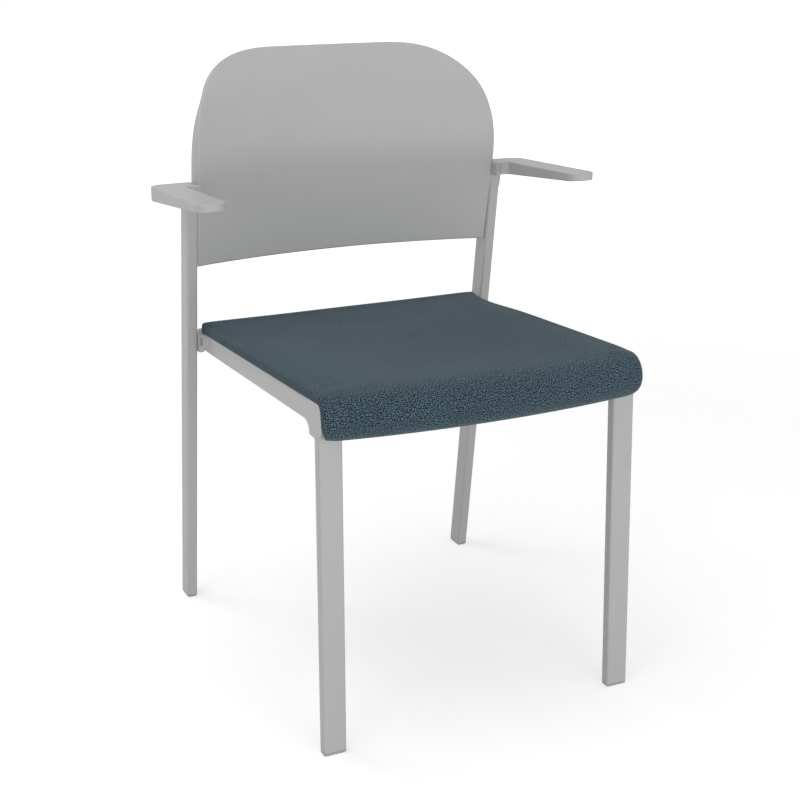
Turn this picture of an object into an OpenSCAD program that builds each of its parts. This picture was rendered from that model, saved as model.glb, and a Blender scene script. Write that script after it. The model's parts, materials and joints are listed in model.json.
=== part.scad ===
// Four-legged armchair with a padded seat. Front legs and tall rear uprights are flat tube,
// two side rails carry the seat, and a one-piece curved back hangs between the uprights.
// Millimetres. +Z is up and the sitter faces -Y, so the sitter's left is +X.
// Heights start at the floor, and depths at the front legs' front face on the floor. The last
// step moves every piece back by half the chair's depth, to put the origin under its middle.

/* [Tube] */
// Wide face of the leg and upright tube
tube_w = 31; // [26:1:36]
// Narrow face of the leg and upright tube
tube_t = 15.5; // [13:0.5:18]
// Wall of the tube
tube_wall = 1.5; // [1:0.25:2]
// Corner radius of the tube
tube_r = 3; // [2.5:0.25:5]

/* [Seat] */
// Width of the seat pad
seat_w = 441; // [400:5:500]
// Height of the rails' top line over the joint with the front legs
knuckle_h = 47.7; // [46.5:0.1:50]
// Backward slope of the seat in degrees
seat_slope = 3.25; // [1:0.25:5]
// Depth of the flat part of the seat, from the middle of its rounded front to its rear edge
seat_flat = 447.5; // [400:5:480]
// Place of the middle of the rounded front, behind the front of the legs
nose_y = 16; // [13:1:20]
// Depth of the middle of the rounded front below the rails' top line
nose_drop = 19.7; // [18:0.5:22]
// Height of the pad above the rails, inside its rounded edge
pad_h = 11.1; // [10:0.1:15]
// How far the front edge bows forward in the middle
front_bow = 20.4; // [5:1:30]
// Depth of the hollow in the middle of the seat
seat_dish = 7; // [2:0.5:9]
// Thickness of the seat pan
pan_t = 3; // [2:0.25:4]
// Thickness of the cover
cover_t = 1.2; // [0.8:0.1:1.6]

/* [Rails] */
// Width of a side rail
rail_w = 23; // [20:1:28]
// Height of a side rail at its front
rail_h = 29.3; // [26:0.5:32]
// Thickness of the rail's web and flanges
rail_wall = 4; // [3:0.25:5]
// Width of a crossbar
crossbar_w = 25; // [20:1:30]
// Height of a crossbar
crossbar_h = 13; // [10:0.5:14]

/* [Front legs] */
// Height of the joint between a front leg and its rail
seam_z = 420; // [380:1:460]
// Outward lean of a front leg in degrees
leg_splay = 0.58; // [0:0.1:3]
// Forward lean of a front leg in degrees
leg_rake = 1.48; // [0:0.1:3]
// Length of the rail's spigot inside the leg
spigot_l = 38; // [30:1:60]

/* [Uprights] */
// How far an upright's foot stands behind the seat's rear edge
upright_set = 66.8; // [55:1:90]
// Forward lean of an upright in degrees
upright_lean = 8.13; // [7:0.1:9]
// Space between a rail and its upright
lug_w = 7.2; // [5:0.5:12]

/* [Arms] */
// Height of the arm's top over the back's lower edge, at its rear end
arm_lift = 119.2; // [105:1:150]
// Rise of the arm towards its front in degrees
arm_rise = 2.85; // [0:0.25:4]
// Length of the arm forward of the upright's centre line
arm_l = 210.5; // [150:5:230]
// Width of the arm's pad
arm_w = 40; // [36:1:50]
// Reach of the arm outward from the upright's inner face
arm_reach = 60.6; // [56:0.2:75]
// Thickness of the arm at its rear end
arm_rear_t = 20.2; // [17:0.5:22]
// Thickness of the arm at its front end
arm_front_t = 10.7; // [9:0.5:16]

/* [Back] */
// Height of the back's lower edge over the rails' top line
back_gap = 72.3; // [60:1:110]
// Height of the back's straight sides, below its rounded corners
back_straight = 160; // [150:1:200]
// Radius of the curl at the top of the back
back_curl_r = 200; // [170:5:230]
// Forward lean of the lower part of the back in degrees
back_lean = 10.5; // [9:0.25:12]
// Radius of the back across its width, at its lower edge
back_wrap_r = 817; // [700:10:1000]
// How far the back's middle lies behind the uprights' centre line, where it starts to curl
back_set = 18.2; // [16:0.2:20]
// Thickness of the back shell
back_t = 4.5; // [3.5:0.25:5]
// Length of the curl along the surface, from its start to the top edge
back_rise = 147.2; // [130:1:160]
// Half the width of the straight part of the top edge
back_top_half = 82; // [60:1:110]
// Thickness of the back's side flanges
cheek_t = 4; // [3:0.25:5]

/* [Glides] */
// Height of a glide's sole
sole_h = 4; // [3:0.25:8]
// Length of a glide's plug in the tube
plug_l = 22; // [15:1:35]

/* [Hidden] */

$fn = 48;
LEFT = 1;
RIGHT = -1;

// Colours
FRAME_GREY = "#b9bbbc";
SHELL_GREY = "#b1b3b4";
GLIDE_GREY = "#a7a9aa";
STEEL = "#c9cbcd";
PAN_BLACK = "#2b2d2f";
FOAM_CREAM = "#d9d3c0";
COVER_BLUE = "#4f6471";

// Play between pieces
overrun = 1;
plug_gap = 0.25;
socket_gap = 0.2;
shank_gap = 0.05;
hole_gap = 0.25;
pan_gap = 1;

// Fasteners: shank radius, head radius, head height
m6_r = 3;
m6_head_r = 5.5;
m6_head_h = 3.3;
m5_r = 2.5;
m5_head_r = 4.5;
m5_head_h = 2.7;
rivet_flange_r = 6.5;
rivet_flange_t = 1;
rivet_barrel_r = 4.5;
rivet_barrel_l = 12;
tee_flange_r = 7;
tee_flange_t = 1.2;
tee_barrel_r = 3.6;
tee_barrel_l = 5;
bolt_reach = 10;
bolt_spread = 7.5;

// Curve steps
corner_steps = 6;
curl_steps = 14;
outline_steps = 18;
wrap_fn = 360;

// A smooth step from 0 at a to 1 at b
function smooth(a, b, v) = let (t = min(1, max(0, (v - a) / (b - a)))) t * t * (3 - 2 * t);

// Rounds the corners of an outline. Each corner is [x, y, radius], and 0 leaves it sharp.
function unit2(v) = v / norm(v);
function corner_arc(a, b, c) =
    let (
        u = unit2([a.x - b.x, a.y - b.y]),
        v = unit2([c.x - b.x, c.y - b.y]),
        half = acos(max(-1, min(1, u * v))) / 2,
        reach = b.z / tan(half),
        middle = [b.x, b.y] + unit2(u + v) * b.z / sin(half),
        from = [b.x, b.y] + u * reach - middle,
        to = [b.x, b.y] + v * reach - middle,
        turn = atan2(from.x * to.y - from.y * to.x, from * to)
    )
    b.z == 0
        ? [[b.x, b.y]]
        : [for (i = [0:corner_steps]) let (t = turn * i / corner_steps)
            middle + [from.x * cos(t) - from.y * sin(t), from.x * sin(t) + from.y * cos(t)]];
function rounded(corners) =
    let (n = len(corners))
    [for (i = [0:n - 1]) each corner_arc(corners[(i + n - 1) % n], corners[i], corners[(i + 1) % n])];

module both_sides() {
    for (side = [LEFT, RIGHT]) place(side) children();
}
// Mirrors a piece drawn on the sitter's left over to the right
module place(side) {
    if (side == LEFT) children();
    else mirror([1, 0, 0]) children();
}
module rounded_rect(w, d, r) {
    union() {
        square([w - 2 * r, d], center = true);
        square([w, d - 2 * r], center = true);
        for (x = [-1, 1], y = [-1, 1]) translate([x * (w / 2 - r), y * (d / 2 - r)]) circle(r);
    }
}
// Extrudes an outline of [depth, height] points sideways, from x = a to x = b
module sideways(a, b) {
    translate([a, 0, 0]) rotate([90, 0, 90]) linear_extrude(b - a) children();
}
// A cylinder along X, from x = a to x = b, at depth y and height z
module pin_x(a, b, y, z, r) {
    translate([a, y, z]) rotate([0, 90, 0]) cylinder(h = b - a, r = r);
}
// A slab that holds every point between two heights
module level_slab(low, high) {
    reach = 2 * (seat_w + seat_flat);
    translate([-reach / 2, -reach / 2, low]) cube([reach, reach, high - low]);
}

// Places that the pieces share
seat_z = seam_z + knuckle_h;
back_low_z = seat_z + back_gap;
back_curl_z = back_low_z + back_straight;
arm_z = back_low_z + arm_lift;
rail_outer_x = seat_w / 2 + cover_t / 2;
rail_inner_x = rail_outer_x - rail_w;
seat_tilt = tan(seat_slope);
upright_inner_x = rail_outer_x + lug_w;
upright_x = upright_inner_x + tube_t / 2;
upright_tilt = tan(upright_lean);
seat_rear = nose_y + seat_flat;
upright_foot_y = seat_rear + upright_set;
leg_x = rail_outer_x - tube_w / 2;
leg_front_y = seam_z * tan(leg_rake);
leg_y = leg_front_y + tube_t / 2;

function rail_top(y) = seat_z - y * seat_tilt;
function upright_y(z) = upright_foot_y - z * upright_tilt;
function upright_back(z) = upright_y(z) + tube_w / 2 / cos(upright_lean);
function upright_front(z) = upright_y(z) - tube_w / 2 / cos(upright_lean);
// From the seat's own frame, with its floor along the rails' top, to the chair's
function seat_to_chair(p) = [
    p.x,
    p.y * cos(seat_slope) + p.z * sin(seat_slope),
    seat_z - p.y * sin(seat_slope) + p.z * cos(seat_slope)
];
module on_seat() {
    translate([0, 0, seat_z]) rotate([-seat_slope, 0, 0]) children();
}

// Seat pad. Rows run from the rear edge forward and down round the front, columns across.
nose_r = nose_drop + pad_h;
quarter_turn = 90;
nose_turn = 170;
nose_core_y = 14;
nose_core_low = 23;
nose_core_power = 3;
nose_tuck = 2.2;
nose_path = (nose_r + nose_core_y) / 2 * nose_turn * PI / 180;
pad_path = seat_flat + nose_path;
pad_corner_r = 4;
hem_corner_w = 12;
hem_corner_l = 20;
pad_edge_reach = 5;
pad_edge_h = 3.6;
pad_nose_reach = 12;
pad_nose_edge_h = 9;
pad_turn_start = 40;
pad_end_r = 2.5;
pad_draw_in = 0.8;
foam_least = 0.4;
rear_dip = 3;
rear_dip_y = 400;
rear_dip_w = 70;
rear_lip = 3.4;
rear_lip_w = 28;
dish_fade = 110;
pan_dish = 12;
pan_shelf = 8;
pan_flat_x = seat_w / 2 - rail_w - pan_shelf;
bow_fade = 190;
edge_steps = [0, 1, 3, 8];
rear_zone = 20;
end_zone = 4;
flat_shares = [0, 0.1, 0.22, 0.36, 0.5, 0.64, 0.78, 0.9, 1];
nose_shares = [0.1, 0.2, 0.3, 0.4, 0.5, 0.6, 0.7, 0.8, 0.9];
end_shares = [0.35, 0.75, 1];
across_shares = [0, 0.25, 0.5, 0.75, 0.9, 0.96, 0.985, 0.995, 1];
pad_rows = concat(
    edge_steps,
    [for (s = flat_shares) rear_zone + s * (seat_flat - rear_zone)],
    [for (s = nose_shares) seat_flat + s * (nose_path - end_zone)],
    [for (s = end_shares) pad_path - end_zone * (1 - s)]
);
pad_columns = concat([for (i = [len(across_shares) - 1:-1:1]) -across_shares[i]], across_shares);

function superellipse_r(a, b_y, b_z, power) =
    pow(pow(sin(a) / b_y, power) + pow(abs(cos(a)) / b_z, power), -1 / power);
function nose_angle(v) = nose_turn * max(0, v - seat_flat) / nose_path;
function nose_core_r(a) =
    superellipse_r(a, nose_core_y, a < quarter_turn ? nose_drop : nose_core_low, nose_core_power);
// Height of the pad's side at depth y of the seat's frame
function side_h(y) =
    pad_h - rear_dip * exp(-pow((y - rear_dip_y) / rear_dip_w, 2))
    + rear_lip * smooth(seat_rear - rear_lip_w, seat_rear, y);
// How far a rounded edge of radius r falls at distance d from it
function edge_fall(d, r) = d >= r ? 0 : r - sqrt(r * r - (r - d) * (r - d));
// The same for an edge that is w wide and l long
function long_edge_fall(d, w, l) = edge_fall(d / l, 1) * w;
// The pad's rounded side edge grows from the side's to the front's size
function turned(v) = smooth(seat_flat - pad_turn_start, seat_flat + nose_path / 2, v);
function edge_h(v) = pad_edge_h + (pad_nose_edge_h - pad_edge_h) * turned(v);
function edge_reach(v) = pad_edge_reach + (pad_nose_reach - pad_edge_reach) * turned(v);
function side_fall(d, v) = long_edge_fall(d, edge_h(v), edge_reach(v));
function half_width(v) =
    seat_w / 2 - edge_fall(v, pad_corner_r) - long_edge_fall(pad_path - v, hem_corner_w, hem_corner_l);
function full_h(v) = v < seat_flat
    ? side_h(seat_rear - v)
    : nose_r - nose_tuck * smooth(seat_flat, pad_path, v) - nose_core_r(nose_angle(v));
function along_fade(v) = smooth(0, dish_fade, v) * smooth(0, dish_fade, seat_flat - v);
function bow(x, v) =
    front_bow * (1 - pow(x / (seat_w / 2), 2)) * smooth(seat_flat - bow_fade, seat_flat, v);
function pan_fall(x, v) = pan_dish * along_fade(v) * pow(max(0, 1 - pow(x / pan_flat_x, 2)), 2);
function face_fall(x, v) =
    seat_dish * along_fade(v) * pow(1 - pow(x / (seat_w / 2), 2), 2)
    + max(
        side_fall(half_width(v) - abs(x), v),
        edge_fall(min(v, pad_path - v), pad_end_r)
    );
function face_h(x, v) =
    max(full_h(v) - face_fall(x, v), pan_t - pan_fall(x, v) + cover_t + foam_least);
// A point h above the rails' line, at distance v along the pad and x across it
function pad_point(x, v, h) =
    let (a = nose_angle(v), r = a > 0 ? nose_core_r(a) : nose_drop)
    seat_to_chair([
        x,
        (v < seat_flat ? seat_rear - v : nose_y) - (r + h) * sin(a) - bow(x, v),
        (r + h) * cos(a) - nose_drop
    ]);
// A sheet of the pad, inset from its outline. depth counts from its outside, height from the pan's floor.
function inset_row(v, inset) = inset + v * (1 - 2 * inset / pad_path);
function face_sheet(inset, depth) = [for (v = pad_rows) [for (c = pad_columns)
    pad_point(c * (half_width(v) - inset), inset_row(v, inset), face_h(c * half_width(v), v) - depth)]];
function pan_sheet(inset, height) = [for (v = pad_rows) [for (c = pad_columns)
    let (x = c * (half_width(v) - inset))
    pad_point(x, inset_row(v, inset), height - pan_fall(x, v))]];
// The rim of a sheet, once round
function rim(sheet) =
    let (rows = len(sheet), columns = len(sheet[0]))
    concat(
        [for (j = [0:columns - 1]) sheet[0][j]],
        [for (i = [1:rows - 1]) sheet[i][columns - 1]],
        [for (j = [columns - 2:-1:0]) sheet[rows - 1][j]],
        [for (i = [rows - 2:-1:1]) sheet[i][0]]
    );
// A closed solid between two sheets, whose rims are joined through the loops between them
module sheet_solid(upper, loops, lower) {
    rows = len(upper);
    columns = len(upper[0]);
    size = rows * columns;
    index = [for (i = [0:rows - 1]) [for (j = [0:columns - 1]) i * columns + j]];
    upper_rim = rim(index);
    n = len(upper_rim);
    lower_start = size + n * len(loops);
    rings = concat(
        [upper_rim],
        [for (k = [0:1:len(loops) - 1]) [for (j = [0:n - 1]) size + k * n + j]],
        [[for (j = upper_rim) lower_start + j]]
    );
    polyhedron(
        points = concat([for (row = upper) each row], [for (l = loops) each l], [for (row = lower) each row]),
        faces = concat(
            [for (i = [0:rows - 2], j = [0:columns - 2])
                each [[index[i][j], index[i][j + 1], index[i + 1][j + 1]],
                      [index[i][j], index[i + 1][j + 1], index[i + 1][j]]]],
            [for (i = [0:rows - 2], j = [0:columns - 2])
                each [[lower_start + index[i][j], lower_start + index[i + 1][j + 1], lower_start + index[i][j + 1]],
                      [lower_start + index[i][j], lower_start + index[i + 1][j], lower_start + index[i + 1][j + 1]]]],
            [for (k = [0:len(rings) - 2], j = [0:n - 1]) let (m = (j + 1) % n)
                each [[rings[k][j], rings[k + 1][m], rings[k][m]],
                      [rings[k][j], rings[k + 1][j], rings[k + 1][m]]]]
        )
    );
}
pan_inset = cover_t + pad_draw_in;
cover_outside = face_sheet(0, 0);
cover_inside = face_sheet(cover_t, cover_t);
pan_top_sheet = pan_sheet(pan_inset, pan_t);
pan_low_sheet = pan_sheet(pan_inset, 0);
cover_foot = rim(pan_sheet(pad_draw_in, 0));

// Middle of the chair's depth, from the front of the seat to the back of the rear feet
front_y = min([for (row = cover_outside) for (p = row) p.y]);
mid_y = (front_y + upright_back(0)) / 2;

// Rails, side view: depth and height
rail_rear_h = 25.5;
rail_rear_y = 445;
rail_low_tilt = (rail_h - rail_rear_h) / rail_rear_y;
rail_nose_top_y = 7;
rail_nose_top_r = 9;
rail_nose_y = 3.2;
rail_nose_depth = 35;
rail_nose_r = 6;
knuckle_rear_y = 41;
knuckle_step = 4.5;
knuckle_fillet_r = 14;
knuckle_edge_r = 2;
rail_end_r = 3;
rail_end_back = 2;
lug_l = 38;
lug_drop = 3;
lug_step = 3;
lug_pocket = 4;
lug_wall = 1.6;
recess_depth = 2.5;
recess_front_y = 52;
recess_top = 5;
recess_low = 7;
boss_l = 48;
front_bar_set = 110;
rear_bar_set = 91.5;
front_bar_y = nose_y + front_bar_set;
rear_bar_y = seat_rear - rear_bar_set;
bar_plate_t = 3;
bar_plate_gap = 2;
bar_screw_spread = 18;
seat_fix_front_set = 62;
seat_fix_rear_set = 39.5;
seat_fix_gap = 1.5;
leg_screw_drop = 20;

function rail_low(y) = rail_top(y) - rail_h + y * rail_low_tilt;
function on_rail(y, drop) = let (p = seat_to_chair([0, y, -drop])) [p.y, p.z];
// Where the rail's upper and lower lines reach the end plane, just short of the upright's back
function end_y(tilt, height) =
    (upright_back(height) - rail_end_back) / (1 - tilt * upright_tilt);
rail_end_top_y = end_y(seat_tilt, rail_top(0));
rail_end_low_y = end_y(seat_tilt - rail_low_tilt, rail_low(0));
rail_nose = on_rail(rail_nose_y, rail_nose_depth);
rail_outline = rounded([
    [leg_front_y, seam_z, 0],
    [leg_front_y, seam_z + knuckle_step, 0],
    [rail_nose.x, rail_nose.y, rail_nose_r],
    [rail_nose_top_y, rail_top(rail_nose_top_y), rail_nose_top_r],
    [rail_end_top_y, rail_top(rail_end_top_y), rail_end_r],
    [rail_end_low_y, rail_low(rail_end_low_y), rail_end_r],
    [knuckle_rear_y, rail_low(knuckle_rear_y), knuckle_fillet_r],
    [knuckle_rear_y, seam_z, knuckle_edge_r]
]);
// A stretch of the rail between two depths, kept in from its upper and lower edges
function rail_stretch(from, to, upper, lower) = [
    [from, rail_low(from) + lower],
    [from, rail_top(from) - upper],
    [to, rail_top(to) - upper],
    [to, rail_low(to) + lower]
];
lug_front_y = rail_end_low_y - lug_l;
pocket_ends = [
    [knuckle_rear_y + rail_wall, front_bar_y - boss_l / 2],
    [front_bar_y + boss_l / 2, rear_bar_y - boss_l / 2],
    [rear_bar_y + boss_l / 2, lug_front_y]
];
rail_bolt_z = (rail_top(rail_end_low_y) + rail_low(rail_end_low_y)) / 2 + bolt_spread * seat_tilt;
rail_bolt_ys = [for (s = [-1, 1]) upright_y(rail_bolt_z) + s * bolt_spread];
seat_fix_x = rail_inner_x + rail_wall + m5_head_r + seat_fix_gap;
seat_fix_ys = [nose_y + seat_fix_front_set, seat_rear - seat_fix_rear_set];
leg_screw_z = seam_z - leg_screw_drop;

// Puts a piece drawn along a front leg's centre line in place, with its joint face at height 0
module along_leg() {
    translate([leg_x, leg_y, seam_z]) multmatrix_lean(leg_splay, leg_rake) children();
}
module multmatrix_lean(splay, rake) {
    rotate([-rake, -splay, 0]) children();
}
// Puts a piece drawn along an upright's centre line in place, with the floor at height 0
module along_upright() {
    translate([upright_x, upright_foot_y, 0]) rotate([upright_lean, 0, 0]) children();
}

module leg_screw_at(r, a, b) {
    along_leg() translate([0, a, -leg_screw_drop]) rotate([-90, 0, 0]) cylinder(h = b - a, r = r);
}
module front_leg() {
    difference() {
        intersection() {
            along_leg() translate([0, 0, -1.2 * seam_z]) linear_extrude(1.4 * seam_z)
                difference() {
                    rounded_rect(tube_w, tube_t, tube_r);
                    rounded_rect(tube_w - 2 * tube_wall, tube_t - 2 * tube_wall, tube_r - tube_wall);
                }
            level_slab(sole_h, seam_z);
        }
        leg_screw_at(m5_r + hole_gap, 0, tube_t);
    }
}
module front_glide() {
    intersection() {
        along_leg() translate([0, 0, -1.2 * seam_z]) linear_extrude(1.4 * seam_z)
            rounded_rect(tube_w, tube_t, tube_r);
        level_slab(0, sole_h);
    }
    intersection() {
        along_leg() translate([0, 0, -1.2 * seam_z]) linear_extrude(1.4 * seam_z)
            rounded_rect(tube_w - 2 * (tube_wall + plug_gap), tube_t - 2 * (tube_wall + plug_gap), tube_r - tube_wall);
        level_slab(sole_h, sole_h + plug_l);
    }
}

arm_cap = 6.5;
arm_tube_end = arm_z - arm_cap;
module tube_holes_x(r) {
    for (y = rail_bolt_ys) pin_x(upright_inner_x - overrun, upright_x, y, rail_bolt_z, r);
    for (p = back_fix) pin_x(upright_inner_x - overrun, upright_x, p.x, p.y, r);
}
module upright() {
    difference() {
        intersection() {
            along_upright() translate([0, 0, -tube_w]) linear_extrude(1.2 * arm_z)
                difference() {
                    rounded_rect(tube_t, tube_w, tube_r);
                    rounded_rect(tube_t - 2 * tube_wall, tube_w - 2 * tube_wall, tube_r - tube_wall);
                }
            level_slab(sole_h, arm_tube_end);
        }
        tube_holes_x(rivet_barrel_r);
        for (p = arm_fix)
            pin_x(upright_inner_x - overrun, upright_inner_x + tube_t + overrun, p.x, p.y, m5_r + hole_gap);
    }
}
module rear_glide() {
    intersection() {
        along_upright() translate([0, 0, -tube_w]) linear_extrude(4 * tube_w)
            rounded_rect(tube_t, tube_w, tube_r);
        level_slab(0, sole_h);
    }
    intersection() {
        along_upright() translate([0, 0, -tube_w]) linear_extrude(4 * tube_w)
            rounded_rect(tube_t - 2 * (tube_wall + plug_gap), tube_w - 2 * (tube_wall + plug_gap), tube_r - tube_wall);
        level_slab(sole_h, sole_h + plug_l);
    }
}

module side_rail() {
    difference() {
        union() {
            sideways(rail_inner_x, rail_outer_x) polygon(rail_outline);
            // Knuckle as wide as the leg
            intersection() {
                sideways(rail_outer_x - tube_w, rail_outer_x) polygon(rail_outline);
                translate([rail_outer_x - tube_w, 0, seam_z])
                    cube([tube_w, knuckle_rear_y, rail_low(0) - seam_z + rail_wall]);
            }
            // Lug against the upright
            sideways(rail_outer_x, upright_inner_x) polygon(rounded([
                [lug_front_y, rail_low(lug_front_y) - lug_drop, 0],
                [lug_front_y, rail_top(lug_front_y) - lug_step, 0],
                [rail_end_top_y, rail_top(rail_end_top_y) - lug_step, rail_end_r],
                [rail_end_low_y, rail_low(rail_end_low_y) - lug_drop, rail_end_r]
            ]));
            intersection() {
                along_leg() translate([0, 0, -spigot_l]) linear_extrude(spigot_l + rail_wall) rounded_rect(
                    tube_w - 2 * (tube_wall + plug_gap), tube_t - 2 * (tube_wall + plug_gap), tube_r - tube_wall);
                level_slab(0, seam_z + rail_wall);
            }
        }
        // Inner pockets, between the bosses
        for (e = pocket_ends) sideways(rail_inner_x - overrun, rail_outer_x - recess_depth - rail_wall)
            polygon(rail_stretch(e[0], e[1], rail_wall, rail_wall));
        // Outer recess
        sideways(rail_outer_x - recess_depth, rail_outer_x + overrun)
            polygon(rail_stretch(recess_front_y, lug_front_y - lug_wall, recess_top, recess_low));
        // Pocket in the lug's front face
        sideways(rail_outer_x + lug_wall, upright_inner_x - lug_wall)
            polygon(rail_stretch(lug_front_y - overrun, lug_front_y + lug_pocket, recess_top + lug_step, recess_low));
        for (y = rail_bolt_ys) {
            pin_x(rail_inner_x - overrun, upright_inner_x + overrun, y, rail_bolt_z, m6_r + hole_gap);
            pin_x(upright_inner_x - rivet_flange_t, upright_inner_x + overrun, y, rail_bolt_z,
                rivet_flange_r + hole_gap);
        }
        for (y = seat_fix_ys) on_seat() translate([seat_fix_x, y, -rail_wall - overrun])
            cylinder(h = rail_wall + 2 * overrun, r = tee_barrel_r + hole_gap);
        for (y = bar_screw_ys) pin_x(rail_inner_x - overrun, rail_inner_x + bolt_reach + overrun,
            y, rail_top(y) - bar_drop, m5_r);
        leg_screw_at(m5_r, 0, tube_t);
    }
}

bar_drop = pan_dish + pan_gap + crossbar_h / 2;
bar_screw_ys = [for (y = [front_bar_y, rear_bar_y], s = [-1, 1]) y + s * bar_screw_spread];
module crossbar(y) {
    half = rail_inner_x;
    plate_h = crossbar_h;
    translate([0, y, rail_top(y) - bar_drop]) rotate([-seat_slope, 0, 0]) difference() {
        union() {
            rotate([90, 0, 90]) translate([0, 0, -half]) linear_extrude(2 * half) difference() {
                rounded_rect(crossbar_w, crossbar_h, tube_wall + 1);
                rounded_rect(crossbar_w - 2 * tube_wall, crossbar_h - 2 * tube_wall, 1);
            }
            for (s = [-1, 1]) translate([s * (half - bar_plate_t / 2), 0, 0])
                cube([bar_plate_t, boss_l - bar_plate_gap, plate_h], center = true);
        }
        for (s = [-1, 1], t = [-1, 1]) translate([s * (half - bar_plate_t / 2), t * bar_screw_spread, 0])
            rotate([0, 90, 0]) cylinder(h = bar_plate_t + 2 * overrun, r = m5_r + hole_gap, center = true);
    }
}

// Arms, seen from above on the left: corners as shares of the pad's width, reach and length
arm_outer_x = upright_inner_x + arm_reach;
arm_front_y = upright_y(arm_z) - arm_l;
arm_tilt = tan(arm_rise);
arm_taper = (arm_rear_t - arm_front_t) / arm_l;
arm_corner_out = 1;
arm_corner_slant = 4;
arm_corner_r = 19.4;
arm_root_front = 30;
arm_hub_slant = 10;
arm_inner_r = 8;
arm_front_r = 0.45 * arm_w;
collar_l = 17;
collar_t = 1.4;
arm_screw_rise = 6;
arm_screw_gap = 0.4;
arm_screw_pitch = 12;
arm_screw_reach = 20;
function arm_top(y) = arm_z + (upright_y(arm_z) - y) * arm_tilt;
function arm_low(y) = arm_top(y) - arm_rear_t + max(0, upright_y(arm_z) - y) * arm_taper;
arm_rear_y = upright_back(arm_z - arm_rear_t) + collar_t;
arm_plan = rounded([
    [upright_inner_x, arm_rear_y, 0],
    [upright_inner_x, upright_y(arm_z) - arm_root_front, 0],
    [arm_outer_x - arm_w, upright_y(arm_z) - arm_root_front + arm_hub_slant, arm_inner_r],
    [arm_outer_x - arm_w, arm_front_y, arm_front_r],
    [arm_outer_x, arm_front_y, arm_front_r],
    [arm_outer_x + arm_corner_out, arm_rear_y - arm_corner_slant, arm_corner_r],
    [upright_inner_x + tube_t + collar_t, arm_rear_y, 0]
]);
arm_side = [
    [arm_rear_y, arm_low(arm_rear_y)],
    [arm_front_y - arm_w, arm_low(arm_front_y - arm_w)],
    [arm_front_y - arm_w, arm_top(arm_front_y - arm_w)],
    [upright_back(arm_z) + collar_t, arm_top(upright_back(arm_z))]
];
module arm() {
    difference() {
        union() {
            intersection() {
                translate([0, 0, arm_z - arm_l]) linear_extrude(2 * arm_l) polygon(arm_plan);
                sideways(upright_inner_x - overrun, arm_outer_x + arm_w) polygon(arm_side);
            }
            intersection() {
                along_upright() linear_extrude(1.2 * arm_z)
                    rounded_rect(tube_t + 2 * collar_t, tube_w + 2 * collar_t, tube_r + collar_t);
                level_slab(arm_z - arm_rear_t - collar_l, arm_z - arm_rear_t + collar_t);
                translate([upright_inner_x, 0, 0]) cube([arm_reach, 2 * upright_foot_y, 2 * arm_z]);
            }
        }
        intersection() {
            along_upright() linear_extrude(1.2 * arm_z)
                rounded_rect(tube_t + 2 * socket_gap, tube_w + 2 * socket_gap, tube_r + socket_gap);
            level_slab(0, arm_tube_end + socket_gap);
        }
        translate([upright_inner_x - overrun, 0, 0])
            cube([overrun, 2 * upright_foot_y, 2 * arm_z]);
        for (p = arm_fix) pin_x(upright_x, upright_inner_x + tube_t + arm_screw_reach + overrun, p.x, p.y, m5_r);
    }
}

// Back, from the profile of its front surface: radius about the wrap's axis, and height
back_y = upright_y(back_curl_z) + back_set;
back_axis_y = back_y + back_curl_r - back_curl_r * cos(back_lean)
    + (back_curl_z - back_curl_r * sin(back_lean) - back_low_z) * tan(back_lean) - back_wrap_r;
back_corner_low = 20;
back_power = 2.53;
back_turn_end = 64;
back_fix_low = 25;
back_fix_high = 60;
back_fix_gap = 2;
// Radius of the surface that lies depth behind the front one, about the wrap's axis
function wrap_r(depth, z) =
    let (
        r = back_curl_r - depth,
        up = z - back_curl_z,
        straight_from = -r * sin(back_lean),
        middle_y = back_y + back_curl_r - back_axis_y
    )
    up > straight_from
        ? middle_y - sqrt(r * r - up * up)
        : middle_y - r * cos(back_lean) + (straight_from - up) * tan(back_lean);
// Depth of the shell's rear surface beside a flange, where a screw head head_h high stands
function shell_back(head_h, z) =
    let (x = upright_inner_x - cheek_t - head_h)
    back_axis_y + sqrt(pow(wrap_r(back_t, z), 2) - x * x);
back_fix = [for (z = [back_low_z + back_fix_low, back_low_z + back_fix_high])
    [shell_back(m6_head_h, z) + m6_head_r + back_fix_gap, z]];
arm_fix_z = arm_z - arm_rear_t + arm_screw_rise;
arm_fix = [for (d = [0, arm_screw_pitch])
    [shell_back(m5_head_h, arm_fix_z) + m5_head_r + arm_screw_gap + d, arm_fix_z]];
// Points of the surface that lies depth behind the front one, from the bottom up
function back_profile(depth) =
    let (
        r = back_curl_r - depth,
        middle_y = back_y + back_curl_r - back_axis_y,
        low = back_low_z - tube_w,
        tangent = [middle_y - r * cos(back_lean), back_curl_z - r * sin(back_lean)]
    )
    concat(
        [[tangent.x + (tangent.y - low) * tan(back_lean), low]],
        [for (i = [0:curl_steps]) let (a = -back_lean + (back_turn_end + back_lean) * i / curl_steps)
            [middle_y - r * cos(a), back_curl_z + r * sin(a)]]
    );
function reversed(list) = [for (i = [len(list) - 1:-1:0]) list[i]];
// The back's outline, seen from the front, with the sides at half and the top edge at rise
function back_outline(half, rise, low) =
    let (
        reach = half - back_top_half,
        corner = [for (i = [0:outline_steps]) let (
                a = quarter_turn * i / outline_steps,
                s = (rise + back_corner_low) * pow(sin(a), 2 / back_power) - back_corner_low
            )
            [back_top_half + reach * pow(cos(a), 2 / back_power),
             back_curl_z + (s < 0 ? s : back_curl_r * sin(s / back_curl_r * 180 / PI))]]
    )
    concat(
        [[half, low]],
        corner,
        [for (p = reversed(corner)) [-p.x, p.y]],
        [[-half, low]]
    );
module upright_outline(half, rise, low) {
    translate([0, upright_back(0), 0]) rotate([90, 0, 0]) linear_extrude(upright_back(0))
        polygon(back_outline(half, rise, low));
}
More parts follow.
